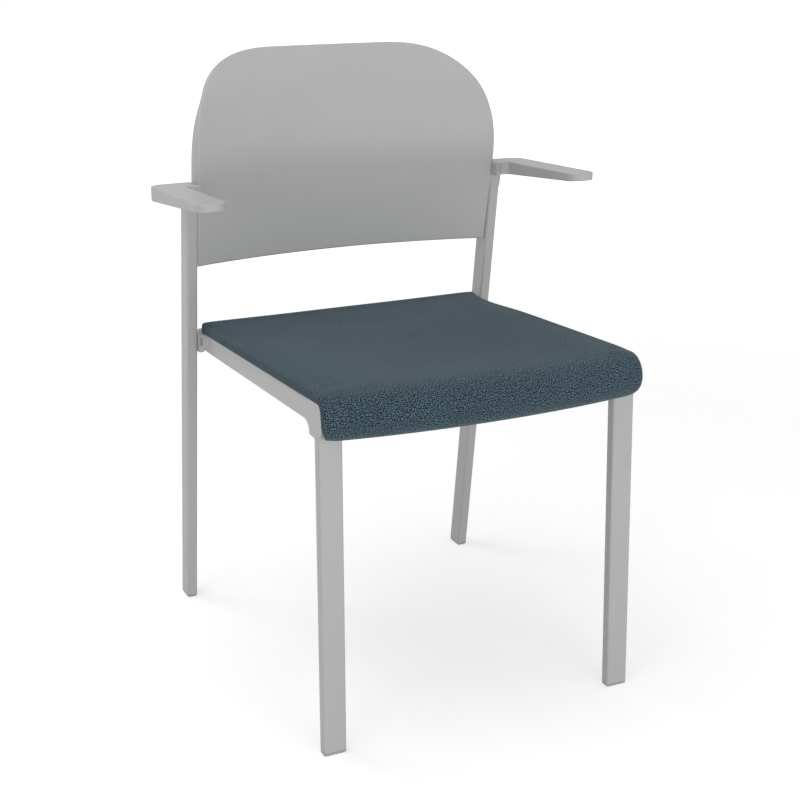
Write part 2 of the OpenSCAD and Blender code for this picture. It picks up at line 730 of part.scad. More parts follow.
// Everything in front of the surface that lies depth behind the back's front
module before_back(depth) {
    profile = back_profile(depth);
    translate([0, back_axis_y, 0]) rotate_extrude($fn = wrap_fn)
        polygon(concat([[0, profile[0].y]], profile, [[0, profile[len(profile) - 1].y]]));
}
module back_panel() {
    color(SHELL_GREY) centred() difference() {
        union() {
            intersection() {
                upright_outline(upright_inner_x, back_rise, back_low_z);
                translate([0, back_axis_y, 0]) rotate_extrude($fn = wrap_fn)
                    polygon(concat(back_profile(0), reversed(back_profile(back_t))));
            }
            // Side flanges, back to the uprights' rear face
            difference() {
                upright_outline(upright_inner_x, back_rise, back_low_z);
                upright_outline(upright_inner_x - cheek_t, back_rise - cheek_t, back_low_z - overrun);
                before_back(back_t / 2);
                translate([-2 * upright_x, upright_back(0), 0]) rotate([upright_lean, 0, 0])
                    translate([0, 0, -upright_x]) cube([4 * upright_x, 2 * upright_x, 4 * arm_z]);
            }
        }
        both_sides() {
            for (p = back_fix) {
                pin_x(upright_inner_x - cheek_t - overrun, upright_inner_x + overrun, p.x, p.y, m6_r + hole_gap);
                pin_x(upright_inner_x - rivet_flange_t, upright_inner_x + overrun, p.x, p.y,
                    rivet_flange_r + hole_gap);
            }
            for (p = arm_fix)
                pin_x(upright_inner_x - cheek_t - overrun, upright_inner_x + overrun, p.x, p.y, m5_r + hole_gap);
        }
    }
}

// Fasteners
module screw_x(from, to, y, z, r, head_r, head_h) {
    pin_x(from, to, y, z, r - shank_gap);
    pin_x(from - head_h, from, y, z, head_r);
}
module rivet_nut(y, z) {
    difference() {
        union() {
            pin_x(upright_inner_x - rivet_flange_t, upright_inner_x, y, z, rivet_flange_r);
            pin_x(upright_inner_x - rivet_flange_t, upright_inner_x + rivet_barrel_l, y, z,
                rivet_barrel_r - shank_gap);
        }
        pin_x(upright_inner_x - rivet_flange_t - overrun, upright_inner_x + rivet_barrel_l + overrun, y, z, m6_r);
    }
}

// Moves a piece so that the origin lies under the middle of the chair
module centred() {
    translate([0, -mid_y, 0]) children();
}

module left_front_leg() { color(FRAME_GREY) centred() place(LEFT) front_leg(); }
module right_front_leg() { color(FRAME_GREY) centred() place(RIGHT) front_leg(); }
module left_upright() { color(FRAME_GREY) centred() place(LEFT) upright(); }
module right_upright() { color(FRAME_GREY) centred() place(RIGHT) upright(); }
module left_side_rail() { color(FRAME_GREY) centred() place(LEFT) side_rail(); }
module right_side_rail() { color(FRAME_GREY) centred() place(RIGHT) side_rail(); }
module front_crossbar() { color(FRAME_GREY) centred() crossbar(front_bar_y); }
module rear_crossbar() { color(FRAME_GREY) centred() crossbar(rear_bar_y); }
module left_front_glide() { color(GLIDE_GREY) centred() place(LEFT) front_glide(); }
module right_front_glide() { color(GLIDE_GREY) centred() place(RIGHT) front_glide(); }
module left_rear_glide() { color(GLIDE_GREY) centred() place(LEFT) rear_glide(); }
module right_rear_glide() { color(GLIDE_GREY) centred() place(RIGHT) rear_glide(); }
module left_arm() { color(SHELL_GREY) centred() place(LEFT) arm(); }
module right_arm() { color(SHELL_GREY) centred() place(RIGHT) arm(); }
module seat_pan() {
    color(PAN_BLACK) centred() difference() {
        sheet_solid(pan_top_sheet, [], pan_low_sheet);
        both_sides() for (y = seat_fix_ys) on_seat() translate([seat_fix_x, y, -overrun])
            cylinder(h = pan_t + 2 * overrun, r = tee_barrel_r + shank_gap);
    }
}
module seat_foam() {
    color(FOAM_CREAM) centred() difference() {
        sheet_solid(cover_inside, [], pan_top_sheet);
        both_sides() for (y = seat_fix_ys) on_seat() translate([seat_fix_x, y, pan_t - overrun])
            cylinder(h = tee_flange_t + shank_gap + overrun, r = tee_flange_r + shank_gap);
    }
}
module seat_cover() {
    color(COVER_BLUE) centred()
        sheet_solid(cover_outside, [cover_foot, rim(pan_low_sheet), rim(pan_top_sheet)], cover_inside);
}
module leg_screws() {
    color(STEEL) centred() both_sides() {
        leg_screw_at(m5_r - shank_gap, m5_r, tube_t / 2);
        leg_screw_at(m5_head_r, tube_t / 2, tube_t / 2 + m5_head_h);
    }
}
module rail_bolts() {
    color(STEEL) centred() both_sides() for (y = rail_bolt_ys)
        screw_x(rail_inner_x, upright_inner_x + bolt_reach, y, rail_bolt_z, m6_r, m6_head_r, m6_head_h);
}
module rail_rivet_nuts() {
    color(STEEL) centred() both_sides() for (y = rail_bolt_ys) rivet_nut(y, rail_bolt_z);
}
module crossbar_screws() {
    color(STEEL) centred() both_sides() for (y = bar_screw_ys)
        screw_x(rail_inner_x - bar_plate_t, rail_inner_x + bolt_reach, y, rail_top(y) - bar_drop,
            m5_r, m5_head_r, m5_head_h);
}
module seat_screws() {
    color(STEEL) centred() both_sides() for (y = seat_fix_ys) on_seat() translate([seat_fix_x, y, 0]) {
        translate([0, 0, -rail_wall]) cylinder(h = rail_wall + pan_t, r = m5_r - shank_gap);
        translate([0, 0, -rail_wall - m5_head_h]) cylinder(h = m5_head_h, r = m5_head_r);
    }
}
module seat_tee_nuts() {
    color(STEEL) centred() both_sides() for (y = seat_fix_ys) on_seat() translate([seat_fix_x, y, pan_t])
        difference() {
            union() {
                cylinder(h = tee_flange_t, r = tee_flange_r);
                translate([0, 0, -tee_barrel_l]) cylinder(h = tee_barrel_l + tee_flange_t, r = tee_barrel_r);
            }
            translate([0, 0, -tee_barrel_l - overrun])
                cylinder(h = tee_barrel_l + tee_flange_t + 2 * overrun, r = m5_r);
        }
}
module back_screws() {
    color(STEEL) centred() both_sides() for (p = back_fix)
        screw_x(upright_inner_x - cheek_t, upright_inner_x + bolt_reach, p.x, p.y, m6_r, m6_head_r, m6_head_h);
}
module back_rivet_nuts() {
    color(STEEL) centred() both_sides() for (p = back_fix) rivet_nut(p.x, p.y);
}
module arm_screws() {
    color(STEEL) centred() both_sides() for (p = arm_fix)
        screw_x(upright_inner_x - cheek_t, upright_inner_x + tube_t + arm_screw_reach, p.x, p.y,
            m5_r, m5_head_r, m5_head_h);
}

left_front_leg();
right_front_leg();
left_upright();
right_upright();
left_side_rail();
right_side_rail();
front_crossbar();
rear_crossbar();
left_front_glide();
right_front_glide();
left_rear_glide();
right_rear_glide();
left_arm();
right_arm();
back_panel();
seat_pan();
seat_foam();
seat_cover();
leg_screws();
rail_bolts();
rail_rivet_nuts();
crossbar_screws();
seat_screws();
seat_tee_nuts();
back_screws();
back_rivet_nuts();
arm_screws();
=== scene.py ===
"""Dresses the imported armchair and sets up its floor, light and camera.

Shop sizes are in millimetres, measured from the floor and from the front face of the front legs, as on the
drawing. in_frame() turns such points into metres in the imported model's frame. The sitter faces -Y, so the
sitter's left is +X.
"""

import json
import logging
import math
from collections.abc import Callable
from dataclasses import dataclass
from enum import Enum, IntEnum

import bmesh
import bpy
import numpy as np
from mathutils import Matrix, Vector


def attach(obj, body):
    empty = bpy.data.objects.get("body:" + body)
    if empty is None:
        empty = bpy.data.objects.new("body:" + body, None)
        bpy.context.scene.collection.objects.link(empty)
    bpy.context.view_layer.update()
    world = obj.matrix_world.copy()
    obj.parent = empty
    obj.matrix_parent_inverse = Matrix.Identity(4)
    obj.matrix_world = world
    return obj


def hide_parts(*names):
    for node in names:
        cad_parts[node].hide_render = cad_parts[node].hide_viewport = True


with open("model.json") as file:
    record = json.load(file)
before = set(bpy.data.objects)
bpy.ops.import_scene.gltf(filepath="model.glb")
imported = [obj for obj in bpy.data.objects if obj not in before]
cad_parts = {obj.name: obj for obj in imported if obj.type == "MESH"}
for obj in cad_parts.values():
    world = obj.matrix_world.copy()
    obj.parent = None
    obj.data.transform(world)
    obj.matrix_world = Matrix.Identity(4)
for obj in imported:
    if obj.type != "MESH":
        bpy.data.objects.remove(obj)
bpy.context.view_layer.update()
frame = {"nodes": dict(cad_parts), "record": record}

logging.basicConfig(level=logging.INFO, format="%(message)s")
log = logging.getLogger("armchair")

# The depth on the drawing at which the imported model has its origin
MID_Y_MM = 255.494
BODY = "root"
WELD_M = 1e-6
LEAST_R_MM = 0.3
ON_PLANE_M = 1e-5
Loop = np.ndarray
Colour = tuple[float, float, float]


class Side(Enum):
    """A side of the chair, as the sitter has it. The value is the sign of its X."""

    LEFT = 1
    RIGHT = -1


def in_frame(points_mm: np.ndarray) -> np.ndarray:
    """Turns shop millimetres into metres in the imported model's frame.

    Args:
        points_mm: Points as rows of x, y and z.

    Returns:
        The same points in metres.
    """
    return (np.asarray(points_mm, float) - np.array([0.0, MID_Y_MM, 0.0])) / 1000.0


def smooth_step(a: float, b: float, v: np.ndarray) -> np.ndarray:
    """A smooth step from 0 at a to 1 at b."""
    t = np.clip((np.asarray(v, float) - a) / (b - a), 0.0, 1.0)
    return t * t * (3.0 - 2.0 * t)


def rounded(corners: list[tuple[float, float, float]], steps: int = 10) -> Loop:
    """Rounds the corners of a flat outline.

    Args:
        corners: Corners as x, y and radius, in order. A radius of 0 leaves the corner sharp.
        steps: Steps along each rounded corner.

    Returns:
        The outline's points, as rows of x and y.
    """
    points = []
    for i, (x, y, radius) in enumerate(corners):
        here = np.array([x, y])
        if radius == 0:
            points.append(here)
            continue
        to_last = np.array(corners[i - 1][:2]) - here
        to_next = np.array(corners[(i + 1) % len(corners)][:2]) - here
        to_last, to_next = to_last / np.linalg.norm(to_last), to_next / np.linalg.norm(to_next)
        half = math.acos(float(np.clip(to_last @ to_next, -1, 1))) / 2
        middle = here + (to_last + to_next) / np.linalg.norm(to_last + to_next) * radius / math.sin(half)
        start = here + to_last * radius / math.tan(half) - middle
        end = here + to_next * radius / math.tan(half) - middle
        turn = math.atan2(start[0] * end[1] - start[1] * end[0], float(start @ end))
        for k in range(steps + 1):
            c, s = math.cos(turn * k / steps), math.sin(turn * k / steps)
            points.append(middle + np.array([start[0] * c - start[1] * s, start[0] * s + start[1] * c]))
    return np.array(points)


def rounded_rectangle(width: float, depth: float, radius: float, steps: int = 8) -> Loop:
    """The outline of a rounded rectangle about the origin, anticlockwise."""
    w, d = width / 2, depth / 2
    return rounded([(w, -d, radius), (w, d, radius), (-w, d, radius), (-w, -d, radius)], steps)


def deselect() -> None:
    """Leaves edit mode and deselects every object."""
    if bpy.context.object is not None and bpy.context.object.mode != "OBJECT":
        bpy.ops.object.mode_set(mode="OBJECT")
    bpy.ops.object.select_all(action="DESELECT")


def activate(piece: bpy.types.Object) -> None:
    """Makes a piece the only selected object, and the active one."""
    deselect()
    piece.select_set(True)
    bpy.context.view_layer.objects.active = piece


def apply_modifier(piece: bpy.types.Object, kind: str, **settings: object) -> None:
    """Adds a modifier to a piece, with the settings given, and applies it."""
    activate(piece)
    modifier = piece.modifiers.new(kind.lower(), kind)
    for name, value in settings.items():
        setattr(modifier, name, value)
    bpy.ops.object.modifier_apply(modifier=modifier.name)


def join(name: str, pieces: list[bpy.types.Object]) -> bpy.types.Object:
    """Joins pieces into the first one and names it."""
    activate(pieces[0])
    for piece in pieces[1:]:
        piece.select_set(True)
    if len(pieces) > 1:
        bpy.ops.object.join()
    pieces[0].name = name
    return pieces[0]


def close_up(piece: bpy.types.Object, smooth_deg: float) -> None:
    """Welds a piece, turns its faces outwards and shades it smooth below an angle."""
    activate(piece)
    bpy.ops.object.mode_set(mode="EDIT")
    bpy.ops.mesh.select_all(action="SELECT")
    bpy.ops.mesh.remove_doubles(threshold=WELD_M)
    bpy.ops.mesh.normals_make_consistent(inside=False)
    bpy.ops.object.mode_set(mode="OBJECT")
    bpy.ops.object.shade_smooth_by_angle(angle=math.radians(smooth_deg))


def even_normals(piece: bpy.types.Object) -> None:
    """Weights the shading by face area, so that flat faces beside a rolled edge look flat."""
    apply_modifier(piece, "WEIGHTED_NORMAL", keep_sharp=True, weight=80)


def roll_edges(piece: bpy.types.Object, width_mm: float, segments: int, angle_deg: float = 30.0) -> None:
    """Rounds every edge of a piece that is sharper than an angle."""
    apply_modifier(
        piece, "BEVEL", width=width_mm / 1000, segments=segments, limit_method="ANGLE",
        angle_limit=math.radians(angle_deg), use_clamp_overlap=False,
    )


def choose(
    mesh: bpy.types.Mesh, kind: str, wanted: Callable[[bmesh.types.BMEdge | bmesh.types.BMFace], bool]
) -> int:
    """Selects, in edit mode, the edges or faces that a test picks, and nothing else.

    Args:
        mesh: The mesh in edit mode.
        kind: EDGE or FACE.
        wanted: The test of an edge or face.

    Returns:
        How many are selected.
    """
    bpy.ops.mesh.select_mode(type=kind)
    bpy.ops.mesh.select_all(action="DESELECT")
    edit = bmesh.from_edit_mesh(mesh)
    items = edit.edges if kind == "EDGE" else edit.faces
    for item in items:
        item.select_set(wanted(item))
    edit.select_mode = {kind}
    bmesh.update_edit_mesh(mesh)
    return sum(item.select for item in items)


def loft(name: str, loops: list[Loop], closed: bool = True) -> bpy.types.Object:
    """Draws a skin through loops of points, from a circle extruded from loop to loop.

    Args:
        name: The piece's name.
        loops: Loops of as many points each, in metres.
        closed: Whether the two ends are filled.

    Returns:
        The piece.
    """
    deselect()
    bpy.ops.mesh.primitive_circle_add(vertices=len(loops[0]), radius=1.0, fill_type="NOTHING")
    piece = bpy.context.object
    piece.name = name
    bpy.ops.object.mode_set(mode="EDIT")
    edit = bmesh.from_edit_mesh(piece.data)
    turn = edit.verts.layers.int.new("turn")
    for i, vert in enumerate(edit.verts):
        vert[turn] = i
        vert.co = loops[0][i]
    bmesh.update_edit_mesh(piece.data)
    bpy.ops.mesh.select_mode(type="EDGE")
    bpy.ops.mesh.select_all(action="SELECT")
    for loop in loops[1:]:
        bpy.ops.mesh.extrude_region()
        edit = bmesh.from_edit_mesh(piece.data)
        turn = edit.verts.layers.int["turn"]
        for vert in edit.verts:
            if vert.select:
                vert.co = loop[vert[turn]]
        bmesh.update_edit_mesh(piece.data)
    if closed:
        bpy.ops.mesh.edge_face_add()
        first = {tuple(round(c, 7) for c in Vector(p)) for p in loops[0]}
        choose(piece.data, "EDGE", lambda e: e.is_boundary and all(
            tuple(round(c, 7) for c in v.co) in first for v in e.verts))
        bpy.ops.mesh.edge_face_add()
    bpy.ops.object.mode_set(mode="OBJECT")
    return piece


def sheet_form(
    name: str, columns: int, rows: int, rings: int, lay: Callable[[np.ndarray], tuple[np.ndarray, np.ndarray]]
) -> bpy.types.Object:
    """Shapes a closed moulded form from a grid.

    The grid is the outer face. Its border is extruded ring by ring over the edge, and a second grid closes
    the form behind. Each point keeps its place on the pattern, which says where it lies.

    Args:
        name: The piece's name.
        columns: Grid cells across.
        rows: Grid cells along.
        rings: Rings over the edge.
        lay: From rows of across, along (-1 to 1) and ring to points in metres and pattern UVs in metres.

    Returns:
        The welded form, its faces outwards.
    """
    def mark(ring: int) -> None:
        """Notes on every selected vertex its place on the pattern."""
        edit = bmesh.from_edit_mesh(mesh)
        place = edit.verts.layers.float_vector.get("place") or edit.verts.layers.float_vector.new("place")
        for vert in edit.verts:
            if vert.select:
                vert[place] = (vert.co.x, vert.co.y, ring)
        bmesh.update_edit_mesh(mesh)

    deselect()
    bpy.ops.mesh.primitive_grid_add(x_subdivisions=columns, y_subdivisions=rows, size=2.0, calc_uvs=True)
    piece = bpy.context.object
    piece.name = name
    mesh = piece.data
    bpy.ops.object.mode_set(mode="EDIT")
    bpy.ops.mesh.select_mode(type="VERT")
    mark(0)
    for ring in range(1, rings + 1):
        choose(mesh, "EDGE", lambda e: e.is_boundary)
        bpy.ops.mesh.extrude_region()
        mark(ring)
    choose(mesh, "EDGE", lambda e: False)
    bpy.ops.mesh.primitive_grid_add(x_subdivisions=columns, y_subdivisions=rows, size=2.0)
    bpy.ops.mesh.select_mode(type="VERT")
    mark(rings)
    bpy.ops.mesh.flip_normals()
    bpy.ops.object.mode_set(mode="OBJECT")
    places = np.zeros(len(mesh.vertices) * 3, np.float32)
    mesh.attributes["place"].data.foreach_get("vector", places)
    points, uvs = lay(places.reshape(-1, 3).astype(float))
    mesh.vertices.foreach_set("co", points.astype(np.float32).ravel())
    corner_verts = np.zeros(len(mesh.loops), np.int32)
    mesh.loops.foreach_get("vertex_index", corner_verts)
    mesh.uv_layers[0].data.foreach_set("uv", uvs[corner_verts].astype(np.float32).ravel())
    mesh.update()
    close_up(piece, 60)
    return piece


def finish_piece(
    piece: bpy.types.Object, material: bpy.types.Material, nodes: tuple[str, ...]
) -> None:
    """Dresses a piece, hangs it on the body and hides the nodes that it stands for."""
    piece.data.materials.clear()
    piece.data.materials.append(material)
    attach(piece, BODY)
    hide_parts(*nodes)
    log.info("piece %-22s %7d faces", piece.name, len(piece.data.polygons))


# Finishes


def new_group(name: str, inputs: dict[str, float], outputs: dict[str, str]) -> bpy.types.NodeTree:
    """Makes a shader node group with number inputs and the outputs named."""
    group = bpy.data.node_groups.new(name, "ShaderNodeTree")
    group.interface.new_socket("Place", in_out="INPUT", socket_type="NodeSocketVector")
    for socket, value in inputs.items():
        entry = group.interface.new_socket(socket, in_out="INPUT", socket_type="NodeSocketFloat")
        entry.default_value = value
    for socket, kind in outputs.items():
        group.interface.new_socket(socket, in_out="OUTPUT", socket_type=kind)
    return group


class Wiring:
    """Adds and links the nodes of one node tree."""

    def __init__(self, tree: bpy.types.NodeTree) -> None:
        """Empties the tree that it will fill."""
        self.tree = tree
        tree.nodes.clear()

    def add(
        self, kind: str, values: dict[str | int, object] | None = None, **settings: object
    ) -> bpy.types.Node:
        """Adds a node, with its settings and the values of its sockets. A socket as a value is linked."""
        node = self.tree.nodes.new(kind)
        for name, value in settings.items():
            setattr(node, name, value)
        for socket, value in (values or {}).items():
            if isinstance(value, bpy.types.NodeSocket):
                self.tree.links.new(value, node.inputs[socket])
            else:
                node.inputs[socket].default_value = value
        return node

    def math(self, operation: str, a: object, b: object = 0.0) -> bpy.types.NodeSocket:
        """Adds a maths node and returns its result."""
        return self.add("ShaderNodeMath", {0: a, 1: b}, operation=operation).outputs[0]

    def noise(self, place: object, scale: object, detail: float, rough: float) -> bpy.types.NodeSocket:
        """Adds a noise and returns its value."""
        return self.add("ShaderNodeTexNoise", {
            "Vector": place, "Scale": scale, "Detail": detail, "Roughness": rough}).outputs["Fac"]

    def ranged(
        self, value: object, low: float, high: float, to_low: object = 0.0, to_high: object = 1.0
    ) -> bpy.types.NodeSocket:
        """Maps a range smoothly to another one."""
        return self.add("ShaderNodeMapRange", {
            "Value": value, "From Min": low, "From Max": high, "To Min": to_low, "To Max": to_high},
            interpolation_type="SMOOTHSTEP").outputs["Result"]

    def mixed(self, share: object, a: object, b: object) -> bpy.types.NodeSocket:
        """Mixes two colours."""
        node = self.add("ShaderNodeMix", data_type="RGBA")
        for socket, value in zip((node.inputs[0], node.inputs[6], node.inputs[7]), (share, a, b)):
            if isinstance(value, bpy.types.NodeSocket):
                self.tree.links.new(value, socket)
            else:
                socket.default_value = value
        return node.outputs[2]

    def bump(self, height: object, strength: float, depth_mm: float) -> bpy.types.NodeSocket:
        """Adds a bump and returns its normal."""
        return self.add("ShaderNodeBump", {
            "Height": height, "Strength": strength, "Distance": depth_mm / 1000}).outputs[0]

    def link(self, source: bpy.types.NodeSocket, target: bpy.types.NodeSocket) -> None:
        """Links two sockets."""
        self.tree.links.new(source, target)


def grain_group() -> bpy.types.NodeTree:
    """The fine grain of a sprayed or moulded skin: a height for the bump and a mask for the tone."""
    group = new_group("fine_grain", {"Scale": 900.0, "Soften": 0.5},
                      {"Height": "NodeSocketFloat", "Mask": "NodeSocketFloat"})
    w = Wiring(group)
    given, out = w.add("NodeGroupInput"), w.add("NodeGroupOutput")
    place, scale, soften = given.outputs["Place"], given.outputs["Scale"], given.outputs["Soften"]
    pits = w.noise(place, scale, detail=2.0, rough=0.6)
    waves = w.noise(place, w.math("MULTIPLY", scale, 0.3), detail=1.0, rough=0.4)
    pits_share = w.math("MULTIPLY", pits, w.math("SUBTRACT", 1.0, soften))
    w.link(w.math("ADD", pits_share, w.math("MULTIPLY", waves, soften)), out.inputs["Height"])
    w.link(w.ranged(pits, 0.3, 0.7), out.inputs["Mask"])
    return group


def mottle_group() -> bpy.types.NodeTree:
    """Slow differences of tone over a surface, with faint handling marks: two masks."""
    group = new_group("mottle", {"Scale": 6.0, "Marks": 0.5},
                      {"Tone": "NodeSocketFloat", "Marks": "NodeSocketFloat"})
    w = Wiring(group)
    given, out = w.add("NodeGroupInput"), w.add("NodeGroupOutput")
    place, scale = given.outputs["Place"], given.outputs["Scale"]
    tone = w.noise(place, scale, detail=3.0, rough=0.55)
    smudge = w.noise(place, w.math("MULTIPLY", scale, 4.0), detail=4.0, rough=0.65)
    w.link(w.ranged(tone, 0.3, 0.7), out.inputs["Tone"])
    w.link(w.math("MULTIPLY", w.ranged(smudge, 0.52, 0.75), given.outputs["Marks"]), out.inputs["Marks"])
    return group


def nub_group() -> bpy.types.NodeTree:
    """Nubs of yarn in a woven cloth: a height, a shade from yarn to yarn, and larger flecks."""
    group = new_group("yarn_nubs", {"Pitch": 700.0, "Loose": 0.6},
                      {"Height": "NodeSocketFloat", "Shade": "NodeSocketFloat", "Fleck": "NodeSocketFloat"})
    w = Wiring(group)
    given, out = w.add("NodeGroupInput"), w.add("NodeGroupOutput")
    place, pitch, loose = given.outputs["Place"], given.outputs["Pitch"], given.outputs["Loose"]
    nubs = w.add("ShaderNodeTexVoronoi", {"Vector": place, "Scale": pitch, "Randomness": loose},
                 voronoi_dimensions="2D", feature="F1")
    fluff = w.noise(place, w.math("MULTIPLY", pitch, 2.6), detail=2.0, rough=0.6)
    dome = w.ranged(nubs.outputs["Distance"], 0.05, 0.55, 1.0, 0.0)
    w.link(w.math("ADD", w.math("MULTIPLY", dome, 0.8), w.math("MULTIPLY", fluff, 0.2)), out.inputs["Height"])
    split = w.add("ShaderNodeSeparateColor", {0: nubs.outputs["Color"]})
    w.link(w.math("MULTIPLY", dome, w.ranged(split.outputs[0], 0.0, 1.0, 0.7, 1.0)), out.inputs["Shade"])
    w.link(w.ranged(fluff, 0.45, 0.75), out.inputs["Fleck"])
    return group


class Effects:
    """The node groups that the finishes share, each made once."""

    def __init__(self) -> None:
        """Builds the groups."""
        self.grain = grain_group()
        self.mottle = mottle_group()
        self.nubs = nub_group()


def start_material(
    name: str, shader_values: dict[str, object]
) -> tuple[bpy.types.Material, Wiring, bpy.types.Node]:
    """Makes a material with a Principled shader, whose plain values stand on its own sockets.

    Args:
        name: The material's name.
        shader_values: Values by socket name.

    Returns:
        The material, its wiring and its shader.
    """
    material = bpy.data.materials.new(name)
    material.use_nodes = True
    w = Wiring(material.node_tree)
    shader = w.add("ShaderNodeBsdfPrincipled", shader_values)
    w.add("ShaderNodeOutputMaterial", {"Surface": shader.outputs[0]}, is_active_output=True)
    return material, w, shader


@dataclass(frozen=True)
class SatinFinish:
    """A sprayed or moulded skin of one colour: powder coat, cast paint or plastic."""

    name: str
    colour: Colour
    roughness: float
    grain_scale: float
    grain_soften: float
    grain_depth_mm: float
    tone_change: float
    marks: float
    speck_change: float = 0.6
    speck_share: float = 0.5
    marks_roughness: float = 0.12
    grain_roughness: float = 0.03
    bump_strength: float = 0.5

    def material(self, effects: Effects) -> bpy.types.Material:
        """Builds the material from the shared grain and mottle."""
        material, w, shader = start_material(self.name, {"IOR": 1.5})
        place = w.add("ShaderNodeTexCoord").outputs["Object"]
        grain = w.add("ShaderNodeGroup", {
            "Place": place, "Scale": self.grain_scale, "Soften": self.grain_soften}, node_tree=effects.grain)
        mottle = w.add("ShaderNodeGroup", {"Place": place, "Marks": self.marks}, node_tree=effects.mottle)
        base = (*self.colour, 1.0)
        shade = (*(c * (1 - self.tone_change) for c in self.colour), 1.0)
        speck = (*(c * (1 - self.speck_change * self.tone_change) for c in self.colour), 1.0)
        tone = w.mixed(mottle.outputs["Tone"], base, shade)
        specks = w.math("MULTIPLY", grain.outputs["Mask"], self.speck_share)
        w.link(w.mixed(specks, tone, speck), shader.inputs["Base Color"])
        worn = w.math("MULTIPLY", mottle.outputs["Marks"], self.marks_roughness)
        grained = w.math("MULTIPLY", grain.outputs["Mask"], self.grain_roughness)
        w.link(w.math("ADD", w.math("ADD", worn, self.roughness), grained), shader.inputs["Roughness"])
        bump = w.bump(grain.outputs["Height"], self.bump_strength, self.grain_depth_mm)
        w.link(bump, shader.inputs["Normal"])
        return material


@dataclass(frozen=True)
class ClothFinish:
    """A nubby woven wool in two shades of yarn.

    The shades of deep, middle and light yarn stand at deep_at, middle_at and light_at of a nub's height.
    wall_from and wall_to are distances across the cut cloth, in metres, where the seat's side starts and its
    painted shade grows in.
    """

    name: str = "cover_wool"
    deep: Colour = (0.01, 0.023, 0.034)
    middle: Colour = (0.058, 0.093, 0.115)
    light: Colour = (0.185, 0.272, 0.326)
    deep_at: float = 0.05
    middle_at: float = 0.36
    light_at: float = 0.92
    pitch: float = 560.0
    loose: float = 0.7
    fleck_share: float = 0.15
    wear_scale: float = 14.0
    wear_share: float = 0.12
    depth_mm: float = 0.6
    bump_strength: float = 0.7
    wall_from: float = 0.2201
    wall_to: float = 0.2215
    # Painted shade: how far the seat's side is darkened towards the deep yarn
    side_painted_shade: float = 0.46

    def material(self, effects: Effects) -> bpy.types.Material:
        """Builds the material from the shared nubs, laid on the cloth's own pattern."""
        material, w, shader = start_material(self.name, {
            "IOR": 1.45, "Specular IOR Level": 0.15, "Roughness": 0.9,
            "Sheen Weight": 0.22, "Sheen Roughness": 0.45, "Sheen Tint": (0.8, 0.92, 1.0, 1.0)})
        deep, middle, light = ((*colour, 1.0) for colour in (self.deep, self.middle, self.light))
        place = w.add("ShaderNodeTexCoord").outputs["UV"]
        nubs = w.add("ShaderNodeGroup", {
            "Place": place, "Pitch": self.pitch, "Loose": self.loose}, node_tree=effects.nubs)
        mottle = w.add(
            "ShaderNodeGroup", {"Place": place, "Scale": self.wear_scale}, node_tree=effects.mottle)
        yarn = w.add("ShaderNodeValToRGB", {0: nubs.outputs["Shade"]})
        first, last = yarn.color_ramp.elements
        first.position, first.color = self.deep_at, deep
        last.position, last.color = self.light_at, light
        yarn.color_ramp.elements.new(self.middle_at).color = middle
        flecked = w.mixed(w.math("MULTIPLY", nubs.outputs["Fleck"], self.fleck_share), yarn.outputs[0], light)
        worn = w.mixed(w.math("MULTIPLY", mottle.outputs["Tone"], self.wear_share), flecked, deep)
        # Painted shade: the seat's sides are darkened towards the deep yarn, for the shade that falls on them
        across = w.add("ShaderNodeSeparateXYZ", {0: place}).outputs[0]
        side_shade_mask = w.ranged(w.math("ABSOLUTE", across), self.wall_from, self.wall_to, 0.0, self.side_painted_shade)
        w.link(w.mixed(side_shade_mask, worn, deep), shader.inputs["Base Color"])
        w.link(w.bump(nubs.outputs["Height"], self.bump_strength, self.depth_mm), shader.inputs["Normal"])
        return material


@dataclass(frozen=True)
class ZincFinish:
    """Bright zinc plate, a little blotchy, with the fine grain of rolled wire."""

    name: str = "zinc_plate"
    bright: Colour = (0.62, 0.62, 0.6)
    dull: Colour = (0.42, 0.43, 0.44)
    least_roughness: float = 0.28
    most_roughness: float = 0.45
    grain_scale: float = 2600.0
    grain_depth_mm: float = 0.02
    bump_strength: float = 0.3
    blotch_scale: float = 90.0

    def material(self, effects: Effects) -> bpy.types.Material:
        """Builds the material from the shared grain and mottle."""
        material, w, shader = start_material(self.name, {"Metallic": 1.0})
        place = w.add("ShaderNodeTexCoord").outputs["Object"]
        grain = w.add("ShaderNodeGroup", {"Place": place, "Scale": self.grain_scale}, node_tree=effects.grain)
        mottle = w.add(
            "ShaderNodeGroup", {"Place": place, "Scale": self.blotch_scale}, node_tree=effects.mottle)
        tone = w.mixed(mottle.outputs["Tone"], (*self.bright, 1.0), (*self.dull, 1.0))
        w.link(tone, shader.inputs["Base Color"])
        rough = w.ranged(grain.outputs["Mask"], 0.0, 1.0, self.least_roughness, self.most_roughness)
        w.link(rough, shader.inputs["Roughness"])
        bump = w.bump(grain.outputs["Height"], self.bump_strength, self.grain_depth_mm)
        w.link(bump, shader.inputs["Normal"])
        return material


